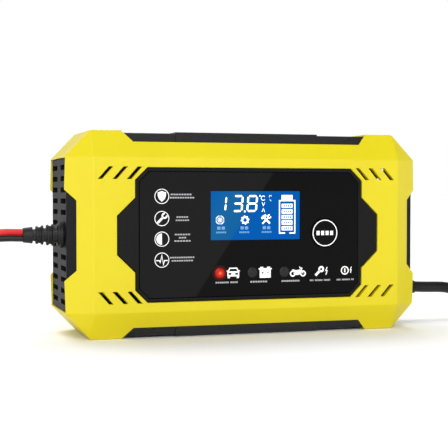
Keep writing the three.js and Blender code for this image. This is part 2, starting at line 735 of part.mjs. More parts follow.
function jawHalf(width) {
  const pocket = [
    [-handleEnd - 1, -10], [jawEnd - 1.4, -10], [jawEnd - 1.4, 1.9], [20, 4.4 - clampSheet],
    [10, 6.2 - clampSheet], [0, 5.8 - clampSheet], [-9, 6.4 - clampSheet],
    [-handleEnd - 1, 12.33 - clampSheet],
  ];
  const inner = width / 2 - clampSheet;
  const sheet = prism(jawOutline(), 'z', -width / 2, width / 2)
    .subtract(prism(pocket, 'z', -inner, inner));
  return sheet.subtract(rod(1.6 + fitGap / 2, 'z', 0, 0, -width, width, 16));
}

function gripHalf(width) {
  const clear = width / 2 + fitGap;
  const outer = [
    [-handleEnd - 2, 10.4], [-8.5, 4.4], [-8.5, 6.6], [-10.5, 8.7], [-handleEnd, 13.8],
    [-handleEnd - 2, 13.2],
  ];
  const socket = [
    [-handleEnd - fitGap, -10], [-8, -10], [-8, 6.4], [-9, 6.4 + fitGap],
    [-handleEnd - fitGap, 12.1 + fitGap],
  ];
  return prism(outer, 'z', -clear - gripSheet, clear + gripSheet)
    .subtract(prism(socket, 'z', -clear, clear));
}

function clampRivet() {
  const reach = wideJaw / 2;
  return unite([
    rod(1.6, 'z', 0, 0, -reach - fitGap, reach + fitGap, 16),
    rod(2.6, 'z', 0, 0, reach + fitGap / 2, reach + 0.9, 16),
    rod(2.6, 'z', 0, 0, -reach - 0.9, -reach - fitGap / 2, 16),
  ]);
}

function clampSpring() {
  const reach = narrowJaw / 2 - clampSheet - fitGap;
  const coil = rod(3.3, 'z', 0, 0, -reach, reach, 16).subtract(rod(2.1, 'z', 0, 0, -9, 9, 16));
  const leg = prism([[-2, -3.2], [-16, -7.4], [-16, -6.6], [-2, -2.4]], 'z', -0.5, 0.5);
  return coil.add(leg);
}

// A clamp lies on its side with its jaws to -X. Its sprung half is on the outer side.
function addClamp(colour, grip, side) {
  const y = leadHank.centre[1] + side * clampSpread;
  const place = (name, manifold, material) =>
    addAt(`${colour}_clamp_${name}`, manifold, material, clampPivotX, y, clampMidZ);
  const facing = (manifold, outward) =>
    manifold.scale([-1, outward * side, 1]);
  place('fixed_jaw', facing(jawHalf(wideJaw), -1), steel);
  place('moving_jaw', facing(jawHalf(narrowJaw), 1), steel);
  place('fixed_grip', facing(gripHalf(wideJaw), -1), grip);
  place('moving_grip', facing(gripHalf(narrowJaw), 1), grip);
  place('rivet', clampRivet(), steel);
  place('spring', facing(clampSpring(), 1), steel);
}

addClamp('red', redVinyl, 1);
addClamp('black', blackVinyl, -1);

// ---- the mains lead -----------------------------------------------------------------------

const mainsTipX = panelFaceX + reliefReach + fitGap;
const mainsRoute = [
  [mainsTipX, mainsExitY, halfZ + mainsExitZ], [106, 11.3, 16.1], [112, 11.3, 16],
  [117, 11.4, 15.6], [122, 12, 14.3], [127, 13.2, 12], [131.5, 14.8, 9.3], [135.6, 16.6, 6.8],
];
const mainsHank = { centre: [180, -1], run: 48, inner: 13.4, outer: 24.4 };
const mainsHankHeight = 11.0;
const plugNeck = 16;
const pinRadius = 2;
const pinSpots = [-9.5, 9.5];
const plugX = 204;
const plugY = -11.8;
const plugZ = floorGap + mainsHankHeight + fitGap + 6.85;

add('mains_cord', tube(mainsRoute, mainsDiameter / 2, 10, 18), rubber);
addAt('mains_coil', hank(mainsHank, mainsHankHeight), rubber, ...mainsHank.centre, 0);

// A flat two-pin plug with its pins towards -X: a waisted body that narrows into the cord.
function plugBody() {
  const half = [
    [0, 6.5], [6, 10.5], [18, 13.5], [32, 17.6], [36, 17.6],
  ].map(([x, y]) => [-plugNeck - x, y]);
  const outline = [...half, ...half.map(([x, y]) => [x, -y]).reverse()].reverse();
  const top = [[0, 4.5], [6, 6.85], [34, 6.85], [36, 6]].map(([x, z]) => [-plugNeck - x, z]);
  const section = [...top, ...top.map(([x, z]) => [x, -z]).reverse()].reverse();
  const body = prism(outline, 'z', -7, 7).intersect(prism(section, 'y', -18, 18));
  const neck = turned(
    [[0, 0], [mainsDiameter / 2 + 0.6, 0], [4.4, plugNeck + 0.4], [0, plugNeck + 0.4]], 16)
    .rotate([0, -90, 0]);
  const sockets = pinSpots.map((y) =>
    rod(pinRadius + fitGap, 'x', y, 0, -plugNeck - 37, -plugNeck - 26, 12));
  return cut(body.add(neck), sockets);
}

addAt('plug_body', plugBody(), rubber, plugX, plugY, plugZ);
pinSpots.forEach((y, i) =>
  addAt(`plug_pin_${i + 1}`, rod(pinRadius, 'x', 0, 0, -plugNeck - 55, -plugNeck - 26.5, 12),
    brass, plugX, plugY + y, plugZ));

export default charger;
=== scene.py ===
# %% [markdown]
# ## A 12 V car battery charger
# The charger is a flat box of two yellow shells with black panels let into its ends, top and
# front. A red and black lead leaves the left end for the battery clamps, and a mains lead
# leaves the right end. The CAD model has fixed every place and size. This lesson gives each
# piece its finish, and makes finer meshes where a machined shape isn't enough.

# %% Load the CAD frame
import math

import bmesh
import bpy
from mathutils import Matrix, Vector


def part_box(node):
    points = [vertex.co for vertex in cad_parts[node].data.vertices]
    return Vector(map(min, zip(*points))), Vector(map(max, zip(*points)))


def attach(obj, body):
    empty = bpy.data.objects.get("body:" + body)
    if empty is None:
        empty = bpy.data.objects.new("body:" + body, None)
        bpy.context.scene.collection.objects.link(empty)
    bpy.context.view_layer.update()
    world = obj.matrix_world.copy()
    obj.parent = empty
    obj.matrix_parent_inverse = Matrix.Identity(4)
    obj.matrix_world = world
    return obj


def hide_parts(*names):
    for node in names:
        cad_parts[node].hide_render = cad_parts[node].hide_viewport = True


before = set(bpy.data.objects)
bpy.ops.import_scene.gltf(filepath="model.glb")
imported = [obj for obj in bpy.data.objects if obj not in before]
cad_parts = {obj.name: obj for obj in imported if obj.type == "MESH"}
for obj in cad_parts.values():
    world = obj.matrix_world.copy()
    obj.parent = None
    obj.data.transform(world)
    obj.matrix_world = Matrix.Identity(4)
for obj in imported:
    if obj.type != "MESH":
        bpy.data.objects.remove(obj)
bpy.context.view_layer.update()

# %% [markdown]
# ## Units and colours
# Everything below is worked out in millimetres, as on the drawing, and turned to Blender's
# metres by one factor. Colours are picked as sRGB hex values, and one function turns them to
# the linear numbers that a shader takes.

# %% Millimetres, and sRGB hex to linear colour
MM = 0.001
CASE_HEIGHT = 90.6
MID_Z = CASE_HEIGHT / 2
FACE_Y = -26.8  # the front of the yellow shell
GLASS_Y = -26.4  # the front of the gloss panel


def linear(hex_colour):
    channels = [int(hex_colour[i:i + 2], 16) / 255 for i in (1, 3, 5)]
    return tuple(c / 12.92 if c <= 0.04045 else ((c + 0.055) / 1.055) ** 2.4
                 for c in channels) + (1.0,)


def node_box(name):
    low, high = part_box(name)
    return low / MM, high / MM


print("case:", [round(v, 1) for v in node_box("front_shell")[0]],
      [round(v, 1) for v in node_box("rear_shell")[1]])

# %% [markdown]
# ## The camera
# The charger is seen from the left of its front, from only a little above the floor it stands
# on, with a longish lens. The lens length, place and turn come from laying the case's known
# edges over a perspective grid. The view is level to within two degrees, so the case's
# uprights stay upright.

# %% Set up the camera
camera_data = bpy.data.cameras.new("view_camera")
camera_data.lens = 88.0
camera_data.sensor_width = 36.0
camera = bpy.data.objects.new("view_camera", camera_data)
camera.location = Vector((-157.4, -485.9, 62.6)) * MM
camera.rotation_euler = (math.radians(90 - 1.52), 0, math.radians(-17.44))
bpy.context.scene.collection.objects.link(camera)
bpy.context.scene.camera = camera
print("camera stands", round(camera.location.length, 3), "m from the middle of the case")

# %% [markdown]
# ## A node helper
# Every finish below is a small graph of nodes. One function adds a node, sets its choices,
# fills its sockets with values, and links the sockets that are fed by another node. Most
# finishes then let one pattern, such as noise, drive the colour, the dullness and the depth
# of the skin together, as a real grain does.


# %% The add-node helper and the base of a finish
def add_node(tree, kind, inputs=None, stops=(), **choices):
    """Adds a node. The stops of a colour ramp are (place, hex colour) pairs."""
    node = tree.nodes.new(kind)
    for key, value in choices.items():
        setattr(node, key, value)
    for key, value in (inputs or {}).items():
        socket = node.inputs[key]
        if isinstance(value, bpy.types.NodeSocket):
            tree.links.new(value, socket)
        else:
            socket.default_value = value
    for _ in stops[2:]:
        node.color_ramp.elements.new(0.5)
    if stops:
        for element, (place, colour) in zip(node.color_ramp.elements, stops):
            element.position = place
            element.color = linear(colour)
    return node


def new_finish(name, **sockets):
    """One Principled shader with its plain numbers, and the place on the piece in metres."""
    material = bpy.data.materials.new(name)
    material.use_nodes = True
    tree = material.node_tree
    shader = tree.nodes["Principled BSDF"]
    for key, value in sockets.items():
        shader.inputs[key.replace("_", " ")].default_value = value
    place = add_node(tree, "ShaderNodeTexCoord").outputs["Object"]
    return material, tree, shader, place


def noise_size(size_mm, detail):
    """Socket values for noise whose blobs are about size_mm across."""
    return {"Scale": 1 / (size_mm * MM), "Detail": detail}


def drive(tree, shader, pattern, colours=(), rough=None, depth_mm=0.0, strength=1.0,
          into="Base Color"):
    """Lets a 0 to 1 pattern set a shader's colour, its range of roughness and its skin."""
    if colours:
        shade = add_node(tree, "ShaderNodeValToRGB", {"Fac": pattern}, stops=colours)
        tree.links.new(shade.outputs["Color"], shader.inputs[into])
    if rough:
        dullness = add_node(tree, "ShaderNodeMapRange", {
            "Value": pattern, "From Min": 0.3, "From Max": 0.7,
            "To Min": rough[0], "To Max": rough[1]})
        tree.links.new(dullness.outputs["Result"], shader.inputs["Roughness"])
    if depth_mm:
        skin = add_node(tree, "ShaderNodeBump", {
            "Height": pattern, "Distance": depth_mm * MM, "Strength": strength})
        tree.links.new(skin.outputs["Normal"], shader.inputs["Normal"])

# %% [markdown]
# ## Soft PVC for leads and plug
# The cable jackets are extruded PVC. The drawing die leaves the surface smooth with faint
# lengthwise dullness, and handling leaves slightly shinier and duller patches. Red and black
# jackets are the same plastic with another pigment, so one function makes both. The moulded
# strain reliefs and the plug are a matt PVC from a spark-finished mould, which is duller.


# %% Extruded and moulded PVC
def pvc(name, dark, light, rough_low, rough_high, grit_mm, depth_mm):
    material, tree, shader, place = new_finish(name, IOR=1.53, Specular_IOR_Level=0.25)
    patches = add_node(tree, "ShaderNodeTexNoise", {
        "Vector": place, **noise_size(9.0, 2.0)}).outputs["Fac"]
    grit = add_node(tree, "ShaderNodeTexNoise", {
        "Vector": place, **noise_size(grit_mm, 4.0)}).outputs["Fac"]
    drive(tree, shader, patches, [(0.3, dark), (0.7, light)], (rough_low, rough_high))
    drive(tree, shader, grit, depth_mm=depth_mm, strength=0.6)
    return material


red_pvc_jacket = pvc("extruded_red_pvc", "#b3141a", "#cf2226", 0.3, 0.4, 1.2, 0.02)
black_pvc_jacket = pvc("extruded_black_pvc", "#0e0e10", "#161618", 0.32, 0.44, 1.2, 0.02)
moulded_black_pvc = pvc("moulded_black_pvc", "#0e0e10", "#161618", 0.45, 0.58, 0.5, 0.03)
print("PVC finishes:", [m.name for m in (red_pvc_jacket, black_pvc_jacket, moulded_black_pvc)])

# %% [markdown]
# ## Making a piece
# A finer piece is made from lists of corners and faces, or from a bmesh. Each piece rides on
# a body of the charger, and may stand for a CAD node.


# %% Piece makers
def make_piece(name, bm, materials, body="case", stands_for=(), smooth=True, crease=35):
    """Turns a bmesh in millimetres into a piece that rides on a body."""
    bmesh.ops.recalc_face_normals(bm, faces=bm.faces)
    bm.transform(Matrix.Scale(MM, 4))
    mesh = bpy.data.meshes.new(name)
    bm.to_mesh(mesh)
    bm.free()
    if smooth:
        for face in mesh.polygons:
            face.use_smooth = True
        mesh.set_sharp_from_angle(angle=math.radians(crease))
    piece = bpy.data.objects.new(name, mesh)
    bpy.context.scene.collection.objects.link(piece)
    for material in materials if isinstance(materials, (list, tuple)) else [materials]:
        mesh.materials.append(material)
    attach(piece, body)
    if stands_for:
        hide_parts(*stands_for)
    return piece


def smooth_route(points, spacing):
    """Points about spacing apart on a Catmull-Rom curve through the given ones."""
    points = [Vector(p) for p in points]
    ends = [points[0] * 2 - points[1]] + points + [points[-1] * 2 - points[-2]]
    route = []
    for a, b, c, d in zip(ends, ends[1:], ends[2:], ends[3:]):
        steps = max(1, round((c - b).length / spacing))
        for i in range(steps):
            t = i / steps
            route.append(0.5 * (2 * b + (c - a) * t + (2 * a - 5 * b + 4 * c - d) * t * t
                                + (3 * b - a - 3 * c + d) * t ** 3))
    return route + [points[-1]]


def route_length(route):
    return sum((b - a).length for a, b in zip(route, route[1:]))


def loft(bm, rings, colour_of=None):
    """Joins rings of corners, one to the next, and closes both ends."""
    count = len(rings[0])
    for near, far in zip(rings, rings[1:]):
        for k in range(count):
            j = (k + 1) % count
            face = bm.faces.new((near[k], near[j], far[j], far[k]))
            face.material_index = colour_of(k) if colour_of else 0
    bm.faces.new(rings[0][::-1])
    bm.faces.new(rings[-1])
    return bm


def sweep(route, section, colour_of=None):
    """A closed tube with the section's (side, up) points kept upright along the route."""
    bm = bmesh.new()
    rings = []
    for i, point in enumerate(route):
        along = (route[min(i + 1, len(route) - 1)] - route[max(i - 1, 0)]).normalized()
        side = along.cross(Vector((0, 0, 1))).normalized()
        up = side.cross(along)
        rings.append([bm.verts.new(point + side * s + up * u) for s, u in section])
    return loft(bm, rings, colour_of)


def round_section(radius, sides):
    return [(radius * math.cos(2 * math.pi * i / sides), radius * math.sin(2 * math.pi * i / sides))
            for i in range(sides)]


# %% [markdown]
# ## Winding up the leads
# A lead has one real length, so what the view doesn't show is wound up as for storage. The
# charger is slim, so each lead is folded into a flat hank in line with it: an oval of turns
# that lie a cord's width apart, beside and on each other. A hank is a list of stretches
# measured in laps, and its radius and height change evenly over each stretch.


# %% Winding a hank
def oval_point(centre, run, laps, radius, height):
    """A point of a hank. A lap goes along one run, round one end, back, and round the other."""
    phase = (laps % 1.0) * 4
    leg, share = int(phase), phase - int(phase)
    if leg in (0, 2):
        x, y = run * (0.5 - share), -radius
    else:
        turn = math.radians(-90 - 180 * share)
        x, y = -run / 2 + radius * math.cos(turn), radius * math.sin(turn)
    if leg >= 2:
        x, y = -x, -y
    return Vector((centre[0] + x, centre[1] + y, height))


def wind(centre, run, laps, radius, height, stretches):
    """Points of a hank, clockwise from above. Each stretch is (end lap, radius, height)."""
    points = [oval_point(centre, run, laps, radius, height)]
    for end_laps, end_radius, end_height in stretches:
        steps = max(2, round((end_laps - laps) * 40))
        for i in range(1, steps + 1):
            share = i / steps
            points.append(oval_point(
                centre, run, laps + (end_laps - laps) * share,
                radius + (end_radius - radius) * share, height + (end_height - height) * share))
        laps, radius, height = end_laps, end_radius, end_height
    return points

# %% [markdown]
# ## The output lead
# A bonded pair of 2.8 mm vinyl wires, red over black, leaves the left end through a strain
# relief. It is limp, so it comes out straight for a few diameters and then sinks to the
# floor. Its 0.6 m is wound in a small hank beyond the view, and the clamps lie on it.
# A swept section with two round lobes keeps the pair on edge and gives the groove between
# them, which two loose tubes wouldn't.

# %% Route of the bonded pair
CORE = 2.8  # diameter of one insulated wire
LEAD_HANK = ((-196.0, 1.4), 48.0)  # middle, and length of its straight runs
lead_points = [
    (-95, -12, 45.3), (-99.5, -12, 45.3), (-106, -12, 45.4), (-112, -12, 44.9),
    (-118.3, -12.2, 42.7), (-124, -12.7, 38.6), (-128.6, -13.3, 33), (-132.4, -13.9, 26.7),
    (-136.5, -14.7, 20.3), (-141.2, -15.6, 14.2), (-147, -16.6, 9), (-153.8, -17.5, 5.4),
    (-161, -18.1, 3.5), (-167, -18.35, 3.0)]
lead_turns = wind(*LEAD_HANK, 0.0, 19.8, 2.9, [
    (1.0, 16.8, 2.9), (1.5, 16.8, 8.6), (2.4, 19.5, 8.6)])
lead_route = smooth_route([Vector(p) for p in lead_points] + lead_turns, 2.0)


# %% Mesh of the bonded pair
def pair_section(arc_points):
    """Upper lobe then lower lobe, joined by a narrow web."""
    half = CORE / 2
    start = math.radians(-72)
    arc = [start + (math.pi - 2 * start) * i / arc_points for i in range(arc_points + 1)]
    upper = [(half * math.cos(a), half + half * math.sin(a)) for a in arc]
    return upper + [(-x, -z) for x, z in upper]


pair = pair_section(9)
pair_piece = make_piece(
    "output_pair", sweep(lead_route, pair, lambda k: 0 if k < len(pair) // 2 else 1),
    [red_pvc_jacket, black_pvc_jacket], stands_for=("output_lead", "output_lead_coil"))

# %% The pair's splitter sleeve
# Heat-shrink sleeve holds the pair where it is torn apart for the two clamps.
sleeve_route = lead_route[-7:]
sleeve_section = [(x * 1.28, z * 1.1) for x, z in pair]
sleeve_piece = make_piece("pair_splitter_sleeve", sweep(sleeve_route, sleeve_section),
                          moulded_black_pvc)

# %% The two tails to the clamps
tail_ends = {
    "red": [
        (-166, 21.2, 10.9), (-161.3, 20.2, 13.2), (-158.6, 18.6, 13.8), (-156.2, 12.6, 15.6),
        (-158.6, 6.5, 17.2), (-164.5, 4, 18.1), (-170, 4, 18.2), (-188, 4, 18.2)],
    "black": [
        (-163, 21.4, 8.5), (-157.2, 19.6, 10.5), (-155.3, 18, 11.2), (-152.6, 13.8, 12.8),
        (-151.9, 9.8, 14), (-155.3, 2, 16.4), (-163.5, -1.2, 18), (-170, -1.2, 18.2),
        (-188, -1.2, 18.2)],
}
tail_lift = {"red": CORE / 2, "black": -CORE / 2}
tail_finish = {"red": red_pvc_jacket, "black": black_pvc_jacket}
for colour, ends in tail_ends.items():
    along_hank = wind(*LEAD_HANK, 2.4, 19.5, 8.6, [(2.75, 19.8, 8.6)])
    lifted = [p + Vector((0, 0, tail_lift[colour])) for p in along_hank]
    route = smooth_route(lifted + [Vector(p) for p in ends], 1.6)
    tail = make_piece(
        f"{colour}_tail_wire", sweep(route, round_section(CORE / 2, 14)), tail_finish[colour],
        stands_for=(f"{colour}_tail",))
    print(colour, "tail:", round(route_length(route)), "mm")

# %% [markdown]
# ## The mains lead
# A round black 5.4 mm two-core lead. It is stiffer than the output pair, so it leaves the
# right end low down, lies down on the floor in a gentle slope, and its 0.8 m goes into a
# hank with wide ends. Its last turn rises onto the hank and runs into the plug, which lies
# on top.

# %% Route and mesh of the mains lead
MAINS = 5.4
MAINS_HANK = ((180.0, -1.0), 48.0)
mains_points = [
    (95, 11.3, 16.4), (99.5, 11.3, 16.4), (106, 11.3, 16.1), (112, 11.3, 16), (117, 11.4, 15.6),
    (122, 12, 14.3), (127, 13.2, 12), (131.5, 14.8, 9.3), (135.6, 16.6, 6.8), (140.4, 18.5, 4.5),
    (145.5, 19.9, 3.2), (150.5, 20.5, 2.85)]
mains_turns = wind(*MAINS_HANK, 0.5, 21.6, 2.8, [
    (1.5, 16.2, 2.8), (2.0, 16.2, 8.3), (3.0, 21.6, 8.3), (3.5, 21.6, 8.3), (3.75, 21.6, 13.9)])
mains_bend = [
    Vector((204 + 16.2 * math.cos(math.radians(a)), 4.4 + 16.2 * math.sin(math.radians(a)),
            13.9 + 4.35 * (90 - a) / 180)) for a in range(72, -91, -18)]
mains_route = smooth_route(
    [Vector(p) for p in mains_points] + mains_turns + mains_bend + [Vector((199, -11.8, 18.25))],
    3.0)
mains_piece = make_piece(
    "mains_lead", sweep(mains_route, round_section(MAINS / 2, 16)), black_pvc_jacket,
    stands_for=("mains_cord", "mains_coil"))

# %% [markdown]
# ## Yellow ABS for the shells
# The shells are injection-moulded ABS, coloured all through. The mould was spark-eroded, so
# the skin has a fine matt grain that spreads the highlights. Real grain is about 0.1 mm. It
# is drawn at 0.5 mm so that it still shows, and kept very shallow. Wide, weak noise gives
# the slight flow marks of a big moulding.

# %% Yellow moulded ABS
yellow_abs, tree, shader, place = new_finish(
    "moulded_yellow_abs", IOR=1.54, Specular_IOR_Level=0.35)
flow = add_node(tree, "ShaderNodeTexNoise", {
    "Vector": place, **noise_size(40.0, 1.0)}).outputs["Fac"]
skin = add_node(tree, "ShaderNodeTexNoise", {
    "Vector": place, **noise_size(0.5, 2.0)}).outputs["Fac"]
drive(tree, shader, flow, [(0.3, "#cebe05"), (0.7, "#d2c206")])
drive(tree, shader, skin, rough=(0.36, 0.46), depth_mm=0.02, strength=0.5)
print(yellow_abs.name)

# %% [markdown]
# ## Black ABS for the panels
# The end, top and bottom panels are the same plastic in black. Seen along the surface it turns
# grey, because any smooth plastic mirrors more at a low angle. The shader does that from its
# IOR, so no grey is painted. The slotted ends come from a mould with a coarser, duller skin,
# which mirrors less.


# %% Black moulded plastics
def black_moulding(name, dark, light, rough_low, rough_high, skin_mm, depth_mm, ior=1.54,
                   level=0.3):
    material, tree, shader, place = new_finish(name, IOR=ior, Specular_IOR_Level=level)
    skin = add_node(tree, "ShaderNodeTexNoise", {
        "Vector": place, **noise_size(skin_mm, 3.0)}).outputs["Fac"]
    drive(tree, shader, skin, [(0.35, dark), (0.65, light)], (rough_low, rough_high),
          depth_mm, 0.5)
    return material


black_abs = black_moulding(
    "moulded_black_abs", "#141416", "#1c1c1f", 0.36, 0.46, 0.5, 0.03, level=0.35)
vent_abs = black_moulding(
    "coarse_black_abs", "#131315", "#1a1a1d", 0.5, 0.6, 0.7, 0.04, level=0.1)
inner_moulding = black_moulding("moulded_black_nylon", "#1e1e20", "#2a2a2d", 0.4, 0.5, 0.8, 0.02)
smoked_lens = black_moulding("smoked_acrylic", "#262627", "#2e2e30", 0.12, 0.2, 1.0, 0.003, 1.49,
                              0.06)

# %% [markdown]
# ## Patterned plastic for the display frame
# The frame's two wings have a fine moulded net of small round dimples in a close hexagonal
# layout. Three cosine waves, 60 degrees apart, add up to just that layout. Their sum is high
# at each dimple, so it can drive both the colour and the depth.

# %% Net-patterned frame plastic
net_abs, tree, shader, place = new_finish(
    "net_textured_black_abs", IOR=1.54, Specular_IOR_Level=0.12)
NET_PITCH = 1.3
waves = []
for degrees in (0, 60, 120):
    way = math.radians(degrees)
    size = 2 * math.pi / (NET_PITCH * MM * math.cos(math.radians(30)))
    along = add_node(tree, "ShaderNodeVectorMath", {
        0: place, 1: (size * math.cos(way), 0, size * math.sin(way))}, operation="DOT_PRODUCT")
    waves.append(add_node(tree, "ShaderNodeMath", {0: along.outputs["Value"]}, operation="COSINE"))
pairs = add_node(tree, "ShaderNodeMath", {0: waves[0].outputs[0], 1: waves[1].outputs[0]})
net = add_node(tree, "ShaderNodeMath", {0: pairs.outputs[0], 1: waves[2].outputs[0]})
dimple = add_node(tree, "ShaderNodeMapRange", {
    "Value": net.outputs[0], "From Min": -1.0, "From Max": 2.2, "To Min": 1.0, "To Max": 0.0})
drive(tree, shader, dimple.outputs["Result"], [(0.1, "#040405"), (0.8, "#101012")], (0.3, 0.5),
      0.12, 0.5)
print("net pitch:", NET_PITCH, "mm")

# %% [markdown]
# ## Gloss overlay
# The display is covered by a polycarbonate sheet, printed black from behind and hard-coated,
# so it is smooth and glossy. Two close blacks meet on a slanting line: the lighter one, at the
# lower left, is a painted reflection of glare. The line is set on the object, so it stays put
# from every side.


# %% The slanting line of painted glare, and the gloss overlay
def painted_glare_side(tree, place, soft_mm):
    """From 0 above the slanting line of painted glare to 1 below it, over soft_mm on each side."""
    start, end = Vector((-25.8, 18.2)), Vector((10.3, 72.8))
    across = Vector((-(end - start).y, (end - start).x)).normalized()
    shift = add_node(tree, "ShaderNodeVectorMath", {
        0: place, 1: (across.x / MM, 0, across.y / MM)}, operation="DOT_PRODUCT")
    middle = across.dot(start)
    return add_node(tree, "ShaderNodeMapRange", {
        "Value": shift.outputs["Value"], "From Min": middle - soft_mm, "From Max": middle + soft_mm,
        "To Min": 0.0, "To Max": 1.0}).outputs["Result"]


gloss_overlay, tree, shader, place = new_finish(
    "printed_polycarbonate_painted_glare", IOR=1.4, Specular_IOR_Level=0.1)
haze = add_node(tree, "ShaderNodeTexNoise", {
    "Vector": place, **noise_size(14.0, 2.0)}).outputs["Fac"]
# The lighter black below the slanting line is a painted reflection of glare.
drive(tree, shader, painted_glare_side(tree, place, 0.3), [(0.0, "#080808"), (1.0, "#171717")])
drive(tree, shader, haze, rough=(0.05, 0.1))
print(gloss_overlay.name)

# %% [markdown]
# ## Backlit display
# A reversed liquid-crystal display is a blue lit field with clear white segments. The light
# comes from behind, so the field gives off light evenly. Its colour leans to teal below the
# overlay's slanting line, where the same reflection of glare is painted. A faint cell
# structure is drawn at 0.4 mm.

# %% Blue field with painted glare, white segments and white ink
lcd_blue, tree, shader, place = new_finish(
    "backlit_blue_lcd", Roughness=0.12, IOR=1.4, Specular_IOR_Level=0.02, Emission_Strength=1.0)
# The teal lean below the slanting line is painted glare, as on the overlay.
field = add_node(tree, "ShaderNodeValToRGB", {"Fac": painted_glare_side(tree, place, 22.0)}, stops=[
    (0.49, "#015cb4"), (0.53, "#15649f"), (0.72, "#1b68a0"), (0.95, "#0460b2")])
cells = add_node(tree, "ShaderNodeTexNoise", {
    "Vector": place, **noise_size(0.4, 0.0)}).outputs["Fac"]
weak = add_node(tree, "ShaderNodeMath", {0: cells, 1: 0.3}, operation="MULTIPLY")
glow = add_node(tree, "ShaderNodeMix", {
    0: weak.outputs[0], 6: field.outputs["Color"], 7: linear("#0457a6")}, data_type="RGBA")
tree.links.new(glow.outputs[2], shader.inputs["Emission Color"])
drive(tree, shader, cells, [(0.3, "#010812"), (0.7, "#020b18")])


def ink(name, colour, bright, glow_strength):
    """Opaque ink or a lit segment, slightly uneven as printed dots are. A glow on ink is painted
    light.
    """
    material, tree, shader, place = new_finish(
        name, Roughness=0.5, Emission_Strength=glow_strength, Emission_Color=linear(colour))
    dots = add_node(tree, "ShaderNodeTexNoise", {
        "Vector": place, **noise_size(0.3, 1.0)}).outputs["Fac"]
    drive(tree, shader, dots, [(0.3, colour), (0.6, bright)])
    return material


# The white ink glows faintly though no lamp is in it: painted light.
white_ink_painted_glow = ink("white_screen_ink", "#e9e9ea", "#ffffff", 0.1)
faint_ink = ink("thin_white_screen_ink", "#98989b", "#b0b0b3", 0.0)
lcd_white = ink("lit_lcd_segment", "#e6f3ff", "#ffffff", 0.7)
lcd_dim = ink("dim_lcd_segment", "#4d7fae", "#5f8fbb", 0.35)
print("display finishes:", lcd_blue.name, white_ink_painted_glow.name, lcd_white.name)

# %% [markdown]
# ## Lit and unlit lamps
# The status lamps are 4 mm domes of clear acrylic. The lit one is red, brightest in its
# middle, where the chip sits below, and darker towards its rim. Its brightness falls with
# the distance from the lamp's own middle.

# %% Red lit lamp and its halo
LAMP_Z = 28.2
lamp_spots = [(x, LAMP_Z) for x in (-14.9, 0.2, 15.3)]


def lamp_distance(tree, place, x, z):
    """Distance in millimetres from a lamp's middle, in the plane of the front."""
    shift = add_node(tree, "ShaderNodeVectorMath", {
        0: place, 1: (-x * MM, 0, -z * MM)}, operation="ADD")
    flat = add_node(tree, "ShaderNodeVectorMath", {0: shift.outputs[0], 1: (1 / MM, 0, 1 / MM)},
                    operation="MULTIPLY")
    return add_node(tree, "ShaderNodeVectorMath", {0: flat.outputs[0]}, operation="LENGTH")


def glowing(name, base, reach_mm, stops, strength, roughness):
    material, tree, shader, place = new_finish(
        name, Base_Color=linear(base), Roughness=roughness, Emission_Strength=strength, IOR=1.49,
        Specular_IOR_Level=0.12)
    away = lamp_distance(tree, place, *lamp_spots[0])
    far = add_node(tree, "ShaderNodeMath", {0: away.outputs["Value"], 1: reach_mm},
                   operation="DIVIDE")
    drive(tree, shader, far.outputs[0], stops, into="Emission Color")
    return material


red_lamp = glowing("lit_red_acrylic", "#6a0d08", 2.1,
                   [(0.0, "#fb9a70"), (0.4, "#e03418"), (1.0, "#8c0d05")], 0.85, 0.12)
red_halo = glowing("red_lamp_halo", "#0b0606", 3.6,
                   [(0.55, "#8c0d06"), (0.78, "#3a0503"), (1.0, "#080101")], 0.8, 0.3)

# %% [markdown]
# ## Metals
# The clamps are pressed from steel strip and nickel-plated, the case screws are blackened by
# a hot oxide bath, and the plug pins are turned from brass. Pressing leaves a faintly uneven
# shine, and turning leaves fine rings. The heat sinks are extruded aluminium with fine
# lengthwise lines, drawn 0.3 mm apart.


# %% Worked metals
def worked_metal(name, dark, light, rough_low, rough_high, stretch, line_mm, depth_mm):
    """A metal whose tool marks are noise drawn out along one direction."""
    material, tree, shader, place = new_finish(name, Metallic=1.0)
    drawn = add_node(tree, "ShaderNodeVectorMath", {0: place, 1: stretch}, operation="MULTIPLY")
    marks = add_node(tree, "ShaderNodeTexNoise", {
        "Vector": drawn.outputs[0], **noise_size(line_mm, 3.0)}).outputs["Fac"]
    drive(tree, shader, marks, [(0.3, dark), (0.7, light)], (rough_low, rough_high), depth_mm, 0.4)
    return material


plated_steel = worked_metal(
    "nickel_plated_steel", "#b6b4af", "#c0beb9", 0.27, 0.34, (1, 1, 1), 1.5, 0.003)
black_oxide_steel = worked_metal(
    "black_oxide_steel", "#1c1c1e", "#26262a", 0.4, 0.5, (1, 1, 1), 1.0, 0.005)
turned_brass = worked_metal(
    "turned_brass", "#b8913c", "#d8b45c", 0.2, 0.34, (6, 0.3, 0.3), 1.0, 0.01)
drawn_aluminium = worked_metal(
    "extruded_aluminium", "#a9acb1", "#c9ccd1", 0.35, 0.5, (0.2, 1, 1), 0.3, 0.01)
copper_wire = worked_metal(
    "enamelled_copper_wire", "#8a4a1c", "#c47a3c", 0.25, 0.4, (0.3, 1, 0.3), 0.6, 0.05)

# %% [markdown]
# ## Board, ferrite and parts
# The boards are glass-fibre laminate under a green solder mask, with darker copper tracks
# showing through as soft patches. Ferrite is a fired ceramic, dark and slightly grainy. The
# capacitors wear a thin printed sleeve, and the fuse is a glazed ceramic tube.


# %% Finishes of the inside parts
def mottled(name, dark, light, size_mm, rough, depth_mm):
    material, tree, shader, place = new_finish(name, Roughness=rough)
    patches = add_node(tree, "ShaderNodeTexNoise", {
        "Vector": place, **noise_size(size_mm, 2.0)}).outputs["Fac"]
    drive(tree, shader, patches, [(0.42, dark), (0.58, light)], None, depth_mm, 0.3)
    return material


